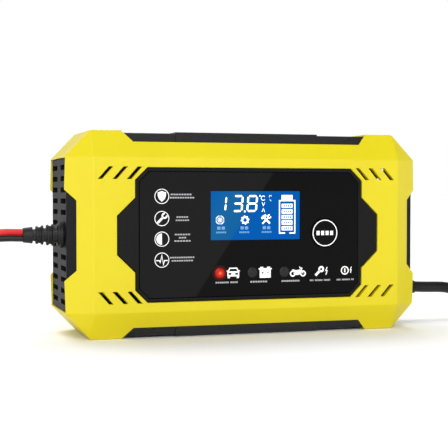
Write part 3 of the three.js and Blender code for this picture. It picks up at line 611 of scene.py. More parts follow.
solder_mask = mottled("green_solder_mask", "#144a28", "#1f6337", 3.0, 0.35, 0.03)
fired_ferrite = mottled("fired_ferrite", "#303032", "#424245", 0.8, 0.6, 0.03)
can_sleeve = mottled("shrunk_pvc_sleeve", "#181c24", "#222832", 4.0, 0.35, 0.01)
fuse_ceramic = mottled("glazed_fuse_ceramic", "#cfcabd", "#dedacf", 1.0, 0.3, 0.01)
label_foil = mottled("brushed_label_foil", "#aeb0b3", "#b5b7ba", 5.0, 0.4, 0.002)
print("finishes:", len(bpy.data.materials))

# %% [markdown]
# ## Giving every CAD node its finish
# The CAD nodes come with plain colours. Each gets the finish of its real material, found by
# its name.

# %% Dress the CAD nodes
finish_of = {
    "front_shell": yellow_abs, "rear_shell": yellow_abs, "left_vent_panel": vent_abs,
    "right_vent_panel": vent_abs, "top_panel": black_abs, "bottom_panel": black_abs,
    "front_bezel": net_abs, "display_panel": gloss_overlay, "lcd_window": lcd_blue,
    "lcd_backlight": inner_moulding, "mode_button": gloss_overlay,
    "switch_plunger": inner_moulding, "mode_switch": inner_moulding, "led_lens_1": red_lamp,
    "led_lens_2": smoked_lens, "led_lens_3": smoked_lens, "display_board": solder_mask,
    "main_board": solder_mask, "transformer_core": fired_ferrite,
    "transformer_winding": copper_wire, "bulk_capacitor": can_sleeve, "line_choke": copper_wire,
    "mains_fuse": fuse_ceramic, "primary_heatsink": drawn_aluminium,
    "output_heatsink": drawn_aluminium, "switching_transistor": inner_moulding,
    "output_rectifier": inner_moulding, "output_capacitor_1": can_sleeve,
    "output_capacitor_2": can_sleeve, "output_relay": inner_moulding,
    "fan_frame": inner_moulding, "fan_rotor": inner_moulding,
    "lead_strain_relief": moulded_black_pvc, "mains_strain_relief": moulded_black_pvc,
    "plug_body": moulded_black_pvc,
}
for name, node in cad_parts.items():
    finish = finish_of.get(name)
    if name.startswith("plug_pin"):
        finish = turned_brass
    elif name.startswith("case_screw"):
        finish = black_oxide_steel
    elif "grip" in name:
        finish = red_pvc_jacket if name.startswith("red") else black_pvc_jacket
    elif finish is None:
        finish = plated_steel
    node.data.materials.clear()
    node.data.materials.append(finish)
print("dressed", len(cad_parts), "nodes")

# %% [markdown]
# ## Rounded edges
# A moulded edge is never sharp: a small radius catches a line of light. The CAD solids have
# sharp edges, so each visible one is copied, its flat triangles are joined into faces, and
# its long outer edges are rounded with a bevel. The copy stands for the CAD node.


# %% Round the long edges of a CAD node
def soften(name, finish, radius, longer_than, body="case", keep=None):
    bm = bmesh.new()
    bm.from_mesh(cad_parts[name].data)
    bm.transform(Matrix.Scale(1 / MM, 4))
    bmesh.ops.remove_doubles(bm, verts=bm.verts, dist=1e-3)
    bmesh.ops.dissolve_limit(bm, angle_limit=math.radians(0.5), verts=bm.verts, edges=bm.edges)
    chosen = []
    for edge in bm.edges:
        if len(edge.link_faces) != 2 or edge.calc_length() < longer_than:
            continue
        angle = edge.calc_face_angle_signed(0)
        if math.radians(20) < angle < math.radians(135) and (keep is None or keep(edge)):
            chosen.append(edge)
    bmesh.ops.bevel(bm, geom=chosen, offset=radius, offset_type="OFFSET", segments=3,
                    profile=0.5, affect="EDGES", clamp_overlap=False)
    piece = make_piece(f"{name}_moulding", bm, finish, body, (name,), crease=24)
    piece.modifiers.new("even_shading", "WEIGHTED_NORMAL").keep_sharp = True
    print(name, "edges rounded:", len(chosen))
    return piece


HALF_CASE = (82.5, 26.8, 45.3)  # half the width, depth and height
CHAMFER = (11.4, 6.85, 11.9)  # how far the chamfers cut into each of them
SKIN = 0.3  # an edge this near a face, or 8% past a chamfer, is on the skin


def outside(edge):
    """True on the skin of the case, false on the inner walls and posts."""
    middle = (edge.verts[0].co + edge.verts[1].co) / 2 - Vector((0, 0, MID_Z))
    room = [half - abs(at) for half, at in zip(HALF_CASE, middle)]
    on_chamfer = any(
        room[i] < 11.5 and room[j] < 12.0 and room[i] / CHAMFER[i] + room[j] / CHAMFER[j] < 1.08
        for i, j in ((0, 1), (1, 2), (0, 2)))
    return min(room) < SKIN or on_chamfer


for shell in ("front_shell", "rear_shell"):
    soften(shell, yellow_abs, 0.45, 5.0, keep=outside)
for panel in ("top_panel", "bottom_panel"):
    soften(panel, black_abs, 0.3, 6.0)
soften("front_bezel", net_abs, 0.3, 5.0)

# %% [markdown]
# ## Slotted end panels
# Each end panel is a black moulding with two columns of slots. Only its outline gets a
# rounded edge: the slot edges are knife-sharp on the real part, where the mould halves meet.

# %% Round the end panels
for side in ("left", "right"):
    soften(f"{side}_vent_panel", vent_abs, 0.25, 16.0)

# %% [markdown]
# ## Drawing flat marks
# The symbols on the front are screen-printed ink, and the display's segments are lit shapes
# just behind the surface. Both are thin plates cut to their outline, a few hundredths of a
# millimetre thick, which keeps them sharp at any distance.


# %% Plates, rings and strokes
class Artwork:
    """Collects thin plates that share a finish and lie on the front of the charger."""

    def __init__(self, lift=0.04):
        self.bm = bmesh.new()
        self.front = GLASS_Y - lift
        self.back = GLASS_Y - 0.002

    def plate(self, outline):
        near = [self.bm.verts.new((x, self.front, z)) for x, z in outline]
        far = [self.bm.verts.new((x, self.back, z)) for x, z in outline]
        self.bm.faces.new(near)
        self.bm.faces.new(far[::-1])
        for i in range(len(near)):
            j = (i + 1) % len(near)
            self.bm.faces.new((near[i], far[i], far[j], near[j]))

    def bar(self, x, z, width, height):
        self.plate([(x, z), (x + width, z), (x + width, z + height), (x, z + height)])

    def arc(self, x, z, outer, inner, start=0, sweep=360, count=48):
        closed = sweep == 360
        rims = []
        for i in range(count if closed else count + 1):
            turn = math.radians(start + sweep * i / count)
            rims.append([self.bm.verts.new((x + r * math.cos(turn), y, z + r * math.sin(turn)))
                         for r, y in ((outer, self.front), (inner, self.front),
                                      (inner, self.back), (outer, self.back))])
        for i in range(count):
            near, far = rims[i], rims[(i + 1) % len(rims)]
            for k in range(4):
                self.bm.faces.new((near[k], near[(k + 1) % 4], far[(k + 1) % 4], far[k]))
        if not closed:
            self.bm.faces.new(rims[0])
            self.bm.faces.new(rims[-1][::-1])

    def disc(self, x, z, radius, start=0, sweep=360, count=32):
        steps = count if sweep == 360 else count + 1
        self.plate([(x + radius * math.cos(math.radians(start + sweep * i / count)),
                     z + radius * math.sin(math.radians(start + sweep * i / count)))
                    for i in range(steps)])

    def stroke(self, points, width):
        """One mitred plate along a line of points."""
        points = [Vector(p) for p in points]
        left, right = [], []
        for i, point in enumerate(points):
            before = (point - points[i - 1]).normalized() if i else None
            after = (points[i + 1] - point).normalized() if i + 1 < len(points) else None
            way = ((before or after) + (after or before)).normalized()
            across = Vector((-way.y, way.x))
            reach = width / 2 / max(0.4, abs(across.dot(Vector((-(after or before).y,
                                                                (after or before).x)))))
            left.append(point + across * reach)
            right.append(point - across * reach)
        self.plate([tuple(p) for p in left + right[::-1]])

    def caption(self, x, z, width, height, words):
        """A row of plain blocks, in groups, where the real panel has small print."""
        gap = 0.8 * height
        total = sum(words)
        room = width - gap * (len(words) - 1)
        for letters in words:
            pitch = room / total
            for k in range(letters):
                self.bar(x + k * pitch, z, 0.72 * pitch, height)
            x += letters * pitch + gap

    def piece(self, name, finish, slot, body="case"):
        return make_piece(name, self.bm, finish, body, smooth=False)

# %% [markdown]
# ## Printed symbols at the left
# Four ringed symbols stand for what the charger does: a shield for protection, a spanner for
# repair, a half-filled disc for the season, and a pulse for sensing. The words beside them
# are left out. Plain blocks of the same size take their place.

# %% Ringed symbols
marks = Artwork()
SYMBOL_X = -41.2
symbol_z = {"shield": 62.0, "spanner": 52.4, "season": 43.5, "pulse": 34.4}
for z in symbol_z.values():
    marks.arc(SYMBOL_X, z, 3.25, 2.97)
z = symbol_z["shield"]
shield_half = [(0, 2.3), (1.0, 1.9), (1.85, 1.7), (1.8, 0.2), (1.3, -1.1), (0, -2.3)]
marks.plate([(SYMBOL_X + x, z + h) for x, h in shield_half]
            + [(SYMBOL_X - x, z + h) for x, h in shield_half[-2:0:-1]])
z = symbol_z["spanner"]
marks.stroke([(SYMBOL_X - 1.7, z - 1.7), (SYMBOL_X + 0.7, z + 0.7)], 0.95)
marks.arc(SYMBOL_X + 1.2, z + 1.2, 1.35, 0.6, start=85, sweep=280, count=24)
marks.disc(SYMBOL_X - 1.7, z - 1.7, 0.47, start=135, sweep=180, count=10)
z = symbol_z["season"]
marks.disc(SYMBOL_X, z, 2.45, start=90, sweep=180)
z = symbol_z["pulse"]
marks.stroke([(SYMBOL_X + x, z + h) for x, h in (
    (-2.6, -0.2), (-1.2, -0.2), (-0.75, -1.0), (0.0, 2.2), (0.65, -2.0), (1.1, -0.2),
    (2.6, -0.2))], 0.4)

# %% [markdown]
# ## Printed symbols in the bottom row
# Beside each lamp is the thing it charges: a car seen from the front, a battery with its two
# posts, and a motorcycle from the side. Two more symbols explain the lamps' signals.

# %% Car
x, z = -8.75, 28.1
marks.stroke([(x + u, z + h) for u, h in (
    (-2.35, 0.7), (-1.6, 2.15), (1.6, 2.15), (2.35, 0.7))], 0.5)
for u, h, width, height in ((-2.75, -1.5, 5.5, 0.75), (-2.75, 0.1, 5.5, 0.7),
                            (-2.75, -0.8, 0.5, 1.0), (2.25, -0.8, 0.5, 1.0),
                            (-0.9, -0.8, 1.8, 1.0)):
    marks.bar(x + u, z + h, width, height)
marks.bar(x - 2.6, z - 2.25, 1.0, 0.7)
marks.bar(x + 1.6, z - 2.25, 1.0, 0.7)
for side in (-1, 1):
    marks.stroke([(x + side * 2.5, z + 0.95), (x + side * 3.05, z + 0.95)], 0.45)

# %% Battery
x, z = 6.2, 28.1
marks.plate([(x + u, z + h) for u, h in (
    (-2.6, -2.4), (2.6, -2.4), (2.6, 1.3), (3.1, 1.3), (3.1, 1.9), (2.3, 1.9), (2.3, 2.5),
    (0.9, 2.5), (0.9, 1.9), (-0.9, 1.9), (-0.9, 2.5), (-2.3, 2.5), (-2.3, 1.9), (-3.1, 1.9),
    (-3.1, 1.3), (-2.6, 1.3))])
poles = Artwork(lift=0.05)
poles.bar(x - 1.8, z - 0.3, 1.1, 0.3)
poles.bar(x - 1.4, z - 0.7, 0.3, 1.1)
poles.bar(x + 0.7, z - 0.3, 1.1, 0.3)
poles.piece("battery_symbol_poles", gloss_overlay, "gloss_overlay")

# %% Motorcycle
x, z = 21.8, 28.0
for side in (-1, 1):
    marks.arc(x + side * 2.45, z - 0.75, 1.4, 0.8, count=28)
marks.plate([(x + u, z + h) for u, h in (
    (-2.2, -0.9), (-0.9, -1.4), (0.9, -1.2), (1.5, 0.5), (1.0, 1.2), (0.1, 0.9), (-0.9, 0.7),
    (-2.4, 1.2), (-2.9, 0.8), (-1.6, 0.2))])
marks.stroke([(x + 2.5, z - 0.7), (x + 1.5, z + 1.3), (x + 0.7, z + 2.3)], 0.42)
marks.stroke([(x + 1.25, z + 1.3), (x + 2.1, z + 1.75)], 0.6)

# %% Torch and round symbol
x, z = 32.1, 28.0
marks.stroke([(x - 1.8, z - 1.8), (x + 0.5, z + 0.5)], 1.1)
marks.arc(x + 1.0, z + 1.0, 1.4, 0.55, count=28)
marks.stroke([(x + 3.9, z + 1.9), (x + 3.2, z + 0.3), (x + 3.9, z + 0.3), (x + 3.3, z - 1.6)], 0.4)
x = 44.7
marks.arc(x, z + 0.2, 1.95, 1.45)
marks.bar(x - 0.3, z - 0.7, 0.6, 1.8)
marks.stroke([(x + 3.3, z + 1.9), (x + 2.7, z + 0.4), (x + 3.2, z + 0.4), (x + 2.8, z - 1.0)], 0.35)
marks.piece("printed_symbols", white_ink_painted_glow, "gloss_overlay")

# %% Blocks in place of the small print
small = Artwork()
for x, z, width, height, words in (
        (-37.2, 62.5, 9.6, 0.62, (8,)), (-37.6, 61.1, 11.2, 0.62, (10,)),
        (-34.6, 52.7, 5.4, 0.6, (5,)), (-35.0, 51.3, 6.3, 0.6, (6,)),
        (-35.4, 45.1, 7.2, 0.6, (6,)), (-33.6, 43.7, 3.6, 0.6, (3,)),
        (-35.6, 42.3, 7.6, 0.6, (6,)),
        (-37.6, 35.1, 11.2, 0.62, (11,)), (-36.8, 33.7, 9.8, 0.62, (9,)),
        (-16.9, 23.7, 10.4, 0.7, (7, 4)), (-0.8, 23.7, 8.2, 0.7, (7,)),
        (14.0, 23.7, 8.8, 0.7, (10,)), (27.6, 23.7, 10.0, 0.7, (3, 6, 5)),
        (40.7, 23.7, 8.6, 0.7, (3, 6, 2))):
    small.caption(x, z, width, height, words)
small.piece("printed_captions", faint_ink, "gloss_overlay")

# %% [markdown]
# ## The mode button
# The button is the same gloss black as the panel, so only the thin gap round it and its white
# ring show. It moves, so its print rides on the button's own body. Four blocks stand where
# the real button has a word.

# %% The button's print
BUTTON_X, BUTTON_Z = 34.75, 45.4
RING_RADIUS = 6.0
button_print = Artwork(lift=0.44)
button_print.back = FACE_Y - 0.002
button_print.arc(BUTTON_X, BUTTON_Z, RING_RADIUS, RING_RADIUS - 0.4, count=72)
for k in range(4):
    button_print.bar(BUTTON_X - 4.1 + 2.2 * k, BUTTON_Z - 0.95, 1.45, 1.9)
button_print.piece("mode_button_print", white_ink_painted_glow, "gloss_overlay", body="mode_button")
soften("mode_button", gloss_overlay, 0.2, 0.3, "mode_button")
print("button ring:", 2 * RING_RADIUS, "mm across")

# %% [markdown]
# ## Segments of the display
# A seven-segment digit is seven slim bars with pointed ends. The digits lean a little to the
# right. Each digit lists which of its bars are lit.

# %% Seven-segment digits
screen = Artwork(lift=0.03)
SEGMENTS = {"1": "bc", "3": "abcdg", "8": "abcdefg"}


def digit(sign, x, z, width, height, bar, lean=0.09):
    middle = height / 2
    ends = {"a": ((0, height), (width, height)), "g": ((0, middle), (width, middle)),
            "d": ((0, 0), (width, 0)), "b": ((width, middle), (width, height)),
            "c": ((width, 0), (width, middle)), "f": ((0, middle), (0, height)),
            "e": ((0, 0), (0, middle))}
    for segment in SEGMENTS[sign]:
        start, end = (Vector(p) for p in ends[segment])
        way = (end - start).normalized()
        across = Vector((-way.y, way.x)) * bar / 2
        start, end = start + way * 0.2, end - way * 0.2
        near, far = start + way * bar / 2, end - way * bar / 2
        outline = [start, near - across, far - across, end, far + across, near + across]
        screen.plate([(x + p.x + lean * p.y, z + p.y) for p in outline])


digit("1", -17.1, 55.55, 4.6, 6.3, 0.8)
digit("3", -8.8, 55.5, 3.9, 6.6, 0.86)
digit("8", -2.3, 55.5, 4.1, 6.6, 0.86)
screen.bar(-3.75, 54.95, 0.75, 0.75)

# %% Unit marks beside the digits
screen.arc(5.25, 61.2, 1.1, 0.82, start=40, sweep=280, count=24)
screen.arc(3.75, 62.2, 0.4, 0.2, count=14)
screen.stroke([(4.65, 59.3), (5.3, 57.85), (5.95, 59.3)], 0.24)
screen.stroke([(4.65, 55.05), (5.3, 56.5), (5.95, 55.05)], 0.24)
screen.arc(8.6, 61.9, 0.6, 0.42, start=0, sweep=230, count=16)
screen.stroke([(8.3, 60.6), (9.0, 59.8)], 0.18)

# %% Snowflake, gear and tools
x, z = -14.9, 51.6
for degrees in (0, 45, 90, 135):
    way = Vector((math.cos(math.radians(degrees)), math.sin(math.radians(degrees))))
    screen.stroke([(x - 1.5 * way.x, z - 1.5 * way.y), (x + 1.5 * way.x, z + 1.5 * way.y)], 0.22)
for degrees in (8, 98, 188, 278):
    screen.arc(x, z, 1.95, 1.72, start=degrees, sweep=74, count=10)
x, z = -3.3, 51.5
teeth = []
for i in range(48):
    turn = 2 * math.pi * i / 48
    reach = 2.0 if (i % 6) in (0, 1, 2) else 1.55
    teeth.append((x + reach * math.cos(turn), z + reach * math.sin(turn)))
for k in range(48):
    following = (k + 1) % 48
    inner = [(x + 0.9 * math.cos(2 * math.pi * i / 48), z + 0.9 * math.sin(2 * math.pi * i / 48))
             for i in (following, k)]
    screen.plate([teeth[k], teeth[following]] + inner)
x, z = 6.5, 51.6
screen.stroke([(x + 1.9, z - 1.7), (x - 1.1, z + 1.2)], 0.8)
screen.stroke([(x - 2.0, z + 0.5), (x - 1.1, z + 1.4), (x + 0.1, z + 2.0)], 1.0)
screen.stroke([(x - 1.7, z - 1.8), (x + 1.2, z + 1.0)], 0.65)
screen.arc(x + 1.6, z + 1.4, 0.95, 0.42, start=70, sweep=290, count=18)

# %% Battery gauge
screen.stroke([(15.6, 45.55), (12.95, 45.55), (12.95, 60.05), (20.25, 60.05), (20.25, 45.55),
               (17.7, 45.55)], 0.5)
screen.bar(13.95, 60.35, 5.2, 2.2)
for k in range(5):
    screen.bar(14.0, 46.8 + 2.5 * k, 5.1, 1.85)
screen.piece("lcd_segments", lcd_white, "lcd_blue")

# %% Blocks in place of the display's small print
faint = Artwork(lift=0.045)
for k in range(5):
    faint.caption(14.9, 47.25 + 2.5 * k, 3.9, 0.95, (4,))
for x, words in ((-16.7, (6,)), (-5.9, (6,)), (4.5, (6,))):
    for k in range(2):
        faint.bar(x + 0.5 + 2.05 * k, 47.35, 1.5, 1.35)
    faint.caption(x, 45.75, 4.8, 0.75, words)
faint.piece("lcd_captions", lcd_dim, "lcd_blue")

# %% [markdown]
# ## Lamps
# Each lamp is a low dome that stands in its hole. It is turned from a profile, so its crown
# is smooth, with a thin brim that covers the hole's edge. The lit lamp also tints the overlay
# round it, because light leaks sideways through the clear sheet. A thin tinted ring gives that.

# %% Domes and halo
LAMP_SIDES = 32
for k, (x, z) in enumerate(lamp_spots):
    profile = [(0.0, -20.0), (2.05, -20.0), (2.05, GLASS_Y - 0.01), (2.28, GLASS_Y - 0.01),
               (2.25, GLASS_Y - 0.08), (1.95, GLASS_Y - 0.19), (1.4, GLASS_Y - 0.3),
               (0.7, GLASS_Y - 0.37), (0.0, GLASS_Y - 0.4)]
    dome = bmesh.new()
    rings = []
    for radius, y in profile:
        if radius == 0:
            rings.append([dome.verts.new((x, y, z))] * LAMP_SIDES)
        else:
            rings.append([dome.verts.new((x + u, y, z + v))
                          for u, v in round_section(radius, LAMP_SIDES)])
    for near, far in zip(rings, rings[1:]):
        for i in range(LAMP_SIDES):
            j = (i + 1) % LAMP_SIDES
            dome.faces.new(dict.fromkeys((near[i], near[j], far[j], far[i])))
    make_piece(f"lamp_dome_{k + 1}", dome, red_lamp if k == 0 else smoked_lens,
               stands_for=(f"led_lens_{k + 1}",))
halo = Artwork(lift=0.015)
halo.arc(lamp_spots[0][0], LAMP_Z, 3.5, 2.4, count=48)
halo.piece("red_lamp_halo", red_halo, "red_lens")
print("lamps at", lamp_spots)

# %% [markdown]
# ## Strain reliefs
# The lead would break where it bends at the panel, so a soft PVC sleeve is moulded over it.
# It tapers, and ring-shaped cuts make it bend evenly. Each cut is deeper on two opposite
# sides, in turn, with a bridge left between them, so the sleeve bends but doesn't stretch. It is
# built as rings of points whose radius changes along the sleeve and, in the cuts, round it.


# %% Ribbed tapered sleeve
def ribbed_sleeve(name, node, place, turn, barb, neck, flange, root, tip, flatten):
    """A sleeve along +X from its panel, then turned and moved to its place."""
    length, foot, lines = 17.7, 1.9, 32
    profile = [(-5.0, barb), (-3.7, barb), (-3.6, neck), (0.3, neck), (0.35, flange - 0.25),
               (0.6, flange), (foot - 0.3, flange), (foot, flange - 0.3), (foot + 0.05, root)]
    stations = [(s, r, 0.0) for s, r in profile]
    cuts = [3.6, 5.9, 8.2, 10.5, 12.8]
    for index, cut in enumerate(cuts):
        for step, depth in ((-0.75, 0.0), (-0.55, 1.0), (0.55, 1.0), (0.75, 0.0)):
            s = cut + step
            share = (s - foot) / (length - foot)
            stations.append((s, root + (tip - root) * share, depth * (1 if index % 2 else -1)))
    stations += [(length - 0.4, tip + 0.05, 0.0), (length - 0.1, tip - 0.15, 0.0),
                 (length, tip - 0.5, 0.0)]
    bm = bmesh.new()
    rings = []
    for s, radius, depth in stations:
        ring = []
        for i in range(lines):
            angle = 2 * math.pi * i / lines
            reach = radius
            if depth:
                bridge = abs(math.sin(angle)) if depth > 0 else abs(math.cos(angle))
                reach *= 0.87 - 0.17 * min(1.0, max(0.0, (0.93 - bridge) / 0.12))
            ring.append(bm.verts.new((s, reach * math.cos(angle) * flatten,
                                      reach * math.sin(angle))))
        rings.append(ring)
    loft(bm, rings)
    bm.transform(Matrix.Translation(place) @ Matrix.Rotation(math.radians(turn), 4, "Z"))
    return make_piece(name, bm, moulded_black_pvc, stands_for=(node,), crease=40)


lead_relief = ribbed_sleeve("output_strain_relief", "lead_strain_relief",
                            (-81.5, -12.0, 45.3), 180, 4.8, 4.0, 5.75, 5.1, 3.1, 0.82)
mains_relief = ribbed_sleeve("mains_lead_strain_relief", "mains_strain_relief",
                             (81.5, 11.3, 16.4), 0, 3.4, 3.0, 4.2, 3.9, 3.15, 1.0)

# %% [markdown]
# ## The plug
# A plain flat two-pin plug, moulded in one with its lead in the same soft PVC. Its body is
# waisted for the fingers and narrows into the cord. It is lofted through soft-cornered
# cross-sections, which gives a smooth grip that flat-sided blocks don't have.


# %% Loft the plug body
def soft_rectangle(half_width, half_height, power, count=40):
    """Points of a rectangle with very round corners (a superellipse)."""
    points = []
    for i in range(count):
        angle = 2 * math.pi * i / count
        c, s = math.cos(angle), math.sin(angle)
        points.append((half_width * math.copysign(abs(c) ** (2 / power), c),
                       half_height * math.copysign(abs(s) ** (2 / power), s)))
    return points


PLUG = Vector((204.0, -11.8, 18.25))
plug_sections = [
    (0.0, 2.75, 2.75, 2.0), (0.4, 3.2, 3.2, 2.0), (4.0, 3.3, 3.3, 2.0), (9.0, 3.7, 3.6, 2.1),
    (13.0, 4.3, 4.1, 2.2), (16.5, 6.4, 4.7, 2.6), (19.5, 8.8, 5.6, 3.0), (23.0, 10.6, 6.5, 3.2),
    (28.0, 12.0, 6.75, 3.3), (34.0, 13.2, 6.8, 3.4), (40.0, 15.2, 6.8, 3.6), (45.5, 17.2, 6.8, 4.2),
    (48.0, 17.5, 6.8, 4.6), (50.8, 17.5, 6.8, 4.8), (51.6, 17.3, 6.6, 4.8), (52.0, 16.7, 6.0, 4.8)]
plug = bmesh.new()
rings = [[plug.verts.new(PLUG + Vector((-s, y, z))) for y, z in soft_rectangle(w, h, power)]
         for s, w, h, power in plug_sections]
loft(plug, rings)
for k, s in enumerate((27.0, 30.0, 33.0)):
    for side in (-1, 1):
        bar = bmesh.ops.create_cube(plug, size=1.0)["verts"]
        bmesh.ops.scale(plug, vec=(1.2, 14.0 + k, 0.8), verts=bar)
        bmesh.ops.translate(plug, vec=PLUG + Vector((-s, 0, side * 6.55)), verts=bar)
plug_piece = make_piece("moulded_plug_body", plug, moulded_black_pvc,
                        stands_for=("plug_body",), crease=50)
print("plug:", plug_sections[-1][0], "mm long")

# %% Round-ended plug pins
for k, y in enumerate((-9.5, 9.5)):
    pin = bmesh.new()
    profile = [(26.5, 2.0), (69.4, 2.0), (70.3, 1.75), (70.85, 1.2), (71.0, 0.6)]
    rings = [[pin.verts.new(PLUG + Vector((-s, y + u, v))) for u, v in round_section(r, 24)]
             for s, r in profile]
    loft(pin, rings)
    make_piece(f"turned_pin_{k + 1}", pin, turned_brass,
                                 stands_for=(f"plug_pin_{k + 1}",))

# %% [markdown]
# ## The clamps
# Each clamp is two pressed steel halves on a rivet, held shut by a coil spring, with vinyl
# grips pushed over the handles. The halves keep their CAD shapes with rounded edges. The
# spring is wound from round wire, so it is a swept helix with one leg.

# %% Round the clamps' pressed halves and grips
on_clamp = {"red": [], "black": []}
for colour in ("red", "black"):
    vinyl = red_pvc_jacket if colour == "red" else black_pvc_jacket
    for half in ("fixed", "moving"):
        body = "case" if half == "fixed" else f"{colour}_clamp_jaw"
        on_clamp[colour] += [
            soften(f"{colour}_clamp_{half}_jaw", plated_steel, 0.15, 2.0, body),
            soften(f"{colour}_clamp_{half}_grip", vinyl, 0.45, 2.0, body)]
    on_clamp[colour].append(
        soften(f"{colour}_clamp_rivet", plated_steel, 0.15, 0.3))


# %% Wind the clamp springs
def tube_along(route, radius, sides=10):
    """A tube whose section is carried along without twist, for any direction of the route."""
    bm = bmesh.new()
    rings, side = [], None
    for i, point in enumerate(route):
        along = (route[min(i + 1, len(route) - 1)] - route[max(i - 1, 0)]).normalized()
        if side is None:
            side = along.orthogonal().normalized()
        side = (side - along * side.dot(along)).normalized()
        up = along.cross(side)
        rings.append([bm.verts.new(point + side * u + up * v)
                      for u, v in round_section(radius, sides)])
    return loft(bm, rings)


CLAMP_X, CLAMP_Z = -204.0, 18.1
COIL_RADIUS, COIL_TURNS, COIL_STEPS = 2.7, 3, 60
for colour, side in (("red", 1), ("black", -1)):
    pivot = Vector((CLAMP_X, 1.4 + side * 14.8, CLAMP_Z))
    turns = [2 * math.pi * COIL_TURNS * i / COIL_STEPS for i in range(COIL_STEPS + 1)]
    wire = [Vector((COIL_RADIUS * math.cos(t), -side * COIL_RADIUS * math.sin(t),
                    -1.6 + 3.2 * i / COIL_STEPS)) for i, t in enumerate(turns)]
    leg_end = Vector((15.5, -side * 6.6, 0.0))
    fixed_leg = [wire[0] + (leg_end - wire[0]) * share for share in (1.0, 0.66, 0.33)]
    route = [pivot + p for p in fixed_leg + wire]
    on_clamp[colour].append(make_piece(
        f"{colour}_spring_wire", tube_along(route, 0.5), plated_steel,
        stands_for=(f"{colour}_clamp_spring",)))
print("springs wound")

# %% [markdown]
# ## Ties
# A hook-and-loop strap holds each hank, as on a lead that has just been unpacked. It goes
# once round the hank's straight run and laps over itself by a third. Real woven ribs are
# about 0.8 mm apart, and a wave texture across the strap draws them.


# %% Woven strap
strap_nylon, tree, shader, place = new_finish("woven_black_nylon", IOR=1.53, Sheen_Weight=0.25)
ribs = add_node(tree, "ShaderNodeTexWave", {
    "Vector": place, "Scale": 1 / (0.8 * MM * math.tau / 10), "Distortion": 0.4},
    bands_direction="X").outputs["Fac"]
drive(tree, shader, ribs, [(0.2, "#101012"), (0.8, "#26262a")], (0.7, 0.85), 0.12, 0.6)


def hank_strap(name, x, middle, half_width, half_height, corner):
    """A strap round a run along X. Its route is a rounded rectangle in Y and Z."""
    thick, width, laps, count = 0.5, 6.0, 1.32, 96
    bm = bmesh.new()
    rings = []
    for i in range(count + 1):
        turn = laps * i / count
        lift = thick / 2 + thick * 1.05 * min(1.0, max(0.0, (turn - 0.93) / 0.07))
        angle = math.radians(50) + math.tau * turn
        way = Vector((math.cos(angle), math.sin(angle)))
        low, high = 0.0, half_width + half_height
        for _ in range(30):
            reach = (low + high) / 2
            past = Vector((max(0.0, abs(way.x) * reach - (half_width - corner)),
                           max(0.0, abs(way.y) * reach - (half_height - corner))))
            low, high = (reach, high) if past.length < corner else (low, reach)
        out = Vector((math.copysign(past.x, way.x), math.copysign(past.y, way.y))).normalized()
        spot = way * reach
        rings.append([bm.verts.new((x + side * width / 2,
                                    middle[0] + spot.x + out.x * (lift + depth),
                                    middle[1] + spot.y + out.y * (lift + depth)))
                      for side, depth in ((-1, -thick / 2), (1, -thick / 2),
                                          (1, thick / 2), (-1, thick / 2))])
    loft(bm, rings)
    return make_piece(name, bm, strap_nylon)


lead_strap = hank_strap("output_hank_strap", -173.5, (-16.9, 5.95), 3.05, 5.35, 2.4)
mains_strap = hank_strap("mains_hank_strap", 160.0, (17.9, 5.75), 5.6, 5.25, 2.4)
print("straps:", lead_strap.name, mains_strap.name)

# %% [markdown]

# %% [markdown]
# ## The rear label
# A thin foil label fills the shallow recess in the rear shell. Its print is left out, and
# only a plain border and blank rows show.

# %% Foil label
LABEL_Y, LABEL_SEAT_Y = 26.52, 26.41  # the foil's outer face, and the recess it sits in
label = bmesh.new()
corners = []
for cx, cz, start in ((30.2, 63.7, 0), (-30.2, 63.7, 90), (-30.2, 26.9, 180), (30.2, 26.9, 270)):
    for k in range(5):
        turn = math.radians(start + 22.5 * k)
        corners.append((cx + 1.4 * math.cos(turn), cz + 1.4 * math.sin(turn)))
near = [label.verts.new((x, LABEL_Y, z)) for x, z in corners]
far = [label.verts.new((x, LABEL_SEAT_Y, z)) for x, z in corners]
label.faces.new(near)
label.faces.new(far[::-1])
for i in range(len(near)):
    label.faces.new((near[i], far[i], far[(i + 1) % len(near)], near[(i + 1) % len(near)]))
make_piece("rear_label_foil", label, label_foil, smooth=False)

label_print = Artwork()
label_print.front, label_print.back = LABEL_Y + 0.03, LABEL_Y + 0.001
for x, z, width, height in ((-29, 60, 40, 2.2), (-29, 34, 58, 0.4), (-29, 52, 26, 1.2),
                            (-29, 48, 32, 1.2), (-29, 44, 22, 1.2), (4, 52, 20, 1.2),
                            (4, 48, 24, 1.2), (-29, 29, 12, 1.2), (-13, 29, 12, 1.2)):
    label_print.bar(x, z, width, height)
label_print.piece("rear_label_rows", faint_ink, "aluminium")

# %% [markdown]
# ## Floor and light
# A plain pale floor runs out of sight into a pale sky of the same tone. The sky is white low
# down, where it is seen, and greyer overhead, so that most of the light comes from soft lamps.
# Two of them are wide and far, so they light the whole floor alike: the front one lights the
# display, and the back one lights the top panel and leaves a soft shadow under the front edge.
# A near one at the left lights the slotted end panel.

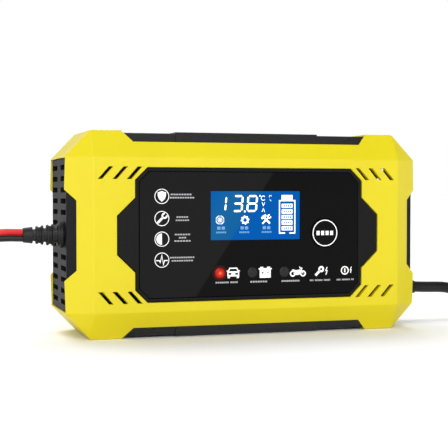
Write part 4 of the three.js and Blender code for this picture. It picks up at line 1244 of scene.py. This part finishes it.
# %% Floor, sky and lamps
FLOOR_REACH = 30  # metres from the middle to each side, far past what is seen
floor_mesh = bpy.data.meshes.new("studio_floor")
floor_corners = [(x * FLOOR_REACH, y * FLOOR_REACH, 0)
                 for x, y in ((-1, -1), (1, -1), (1, 1), (-1, 1))]
floor_mesh.from_pydata(floor_corners, [], [(0, 1, 2, 3)])
floor = bpy.data.objects.new("studio_floor", floor_mesh)
bpy.context.scene.collection.objects.link(floor)
paper, tree, shader, place = new_finish("white_paper", Roughness=0.75, Specular_IOR_Level=0.1)
fibres = add_node(tree, "ShaderNodeTexNoise", {
    "Vector": place, **noise_size(30.0, 2.0)}).outputs["Fac"]
drive(tree, shader, fibres, [(0.3, "#f7f7f7"), (0.7, "#f9f9f9")])
floor_mesh.materials.append(paper)

world = bpy.data.worlds.new("studio_sky")
world.use_nodes = True
sky = world.node_tree
way = add_node(sky, "ShaderNodeTexCoord").outputs["Generated"]
rise = add_node(sky, "ShaderNodeSeparateXYZ", {"Vector": way}).outputs["Z"]
level = add_node(sky, "ShaderNodeMapRange", {
    "Value": rise, "From Min": 0.22, "From Max": 0.5, "To Min": 1.0, "To Max": 0.25})
sky.links.new(level.outputs["Result"], sky.nodes["Background"].inputs["Strength"])
sky.nodes["Background"].inputs["Color"].default_value = (1, 1, 1, 1)
bpy.context.scene.world = world
bpy.context.scene.view_settings.view_transform = "Standard"


def hang_lamp(name, kind, way, energy, **settings):
    """A lamp of one kind, shining along way."""
    data = bpy.data.lights.new(name, kind)
    data.energy = energy
    for key, value in settings.items():
        setattr(data, key, value)
    lamp = bpy.data.objects.new(name, data)
    lamp.rotation_euler = Vector(way).to_track_quat("-Z", "Y").to_euler()
    bpy.context.scene.collection.objects.link(lamp)
    return lamp


FRONT_SPREAD = math.radians(46)  # a wide sun, so its shadows have soft edges
BACK_SPREAD = math.radians(50)
SOFTBOX_PLACE = Vector((-1.05, -0.80, 0.2))
SOFTBOX_AIM = Vector((-0.05, 0, 0.05))
hang_lamp("front_studio_lamp", "SUN", (0.25, 1.0, -0.55), 2.0, angle=FRONT_SPREAD)
hang_lamp("back_studio_lamp", "SUN", (0.1, -0.5, -1.0), 2.1, angle=BACK_SPREAD)
left_softbox = hang_lamp("left_softbox", "AREA", SOFTBOX_AIM - SOFTBOX_PLACE, 1.4,
                         shape="RECTANGLE", size=0.6, size_y=0.6)
left_softbox.location = SOFTBOX_PLACE
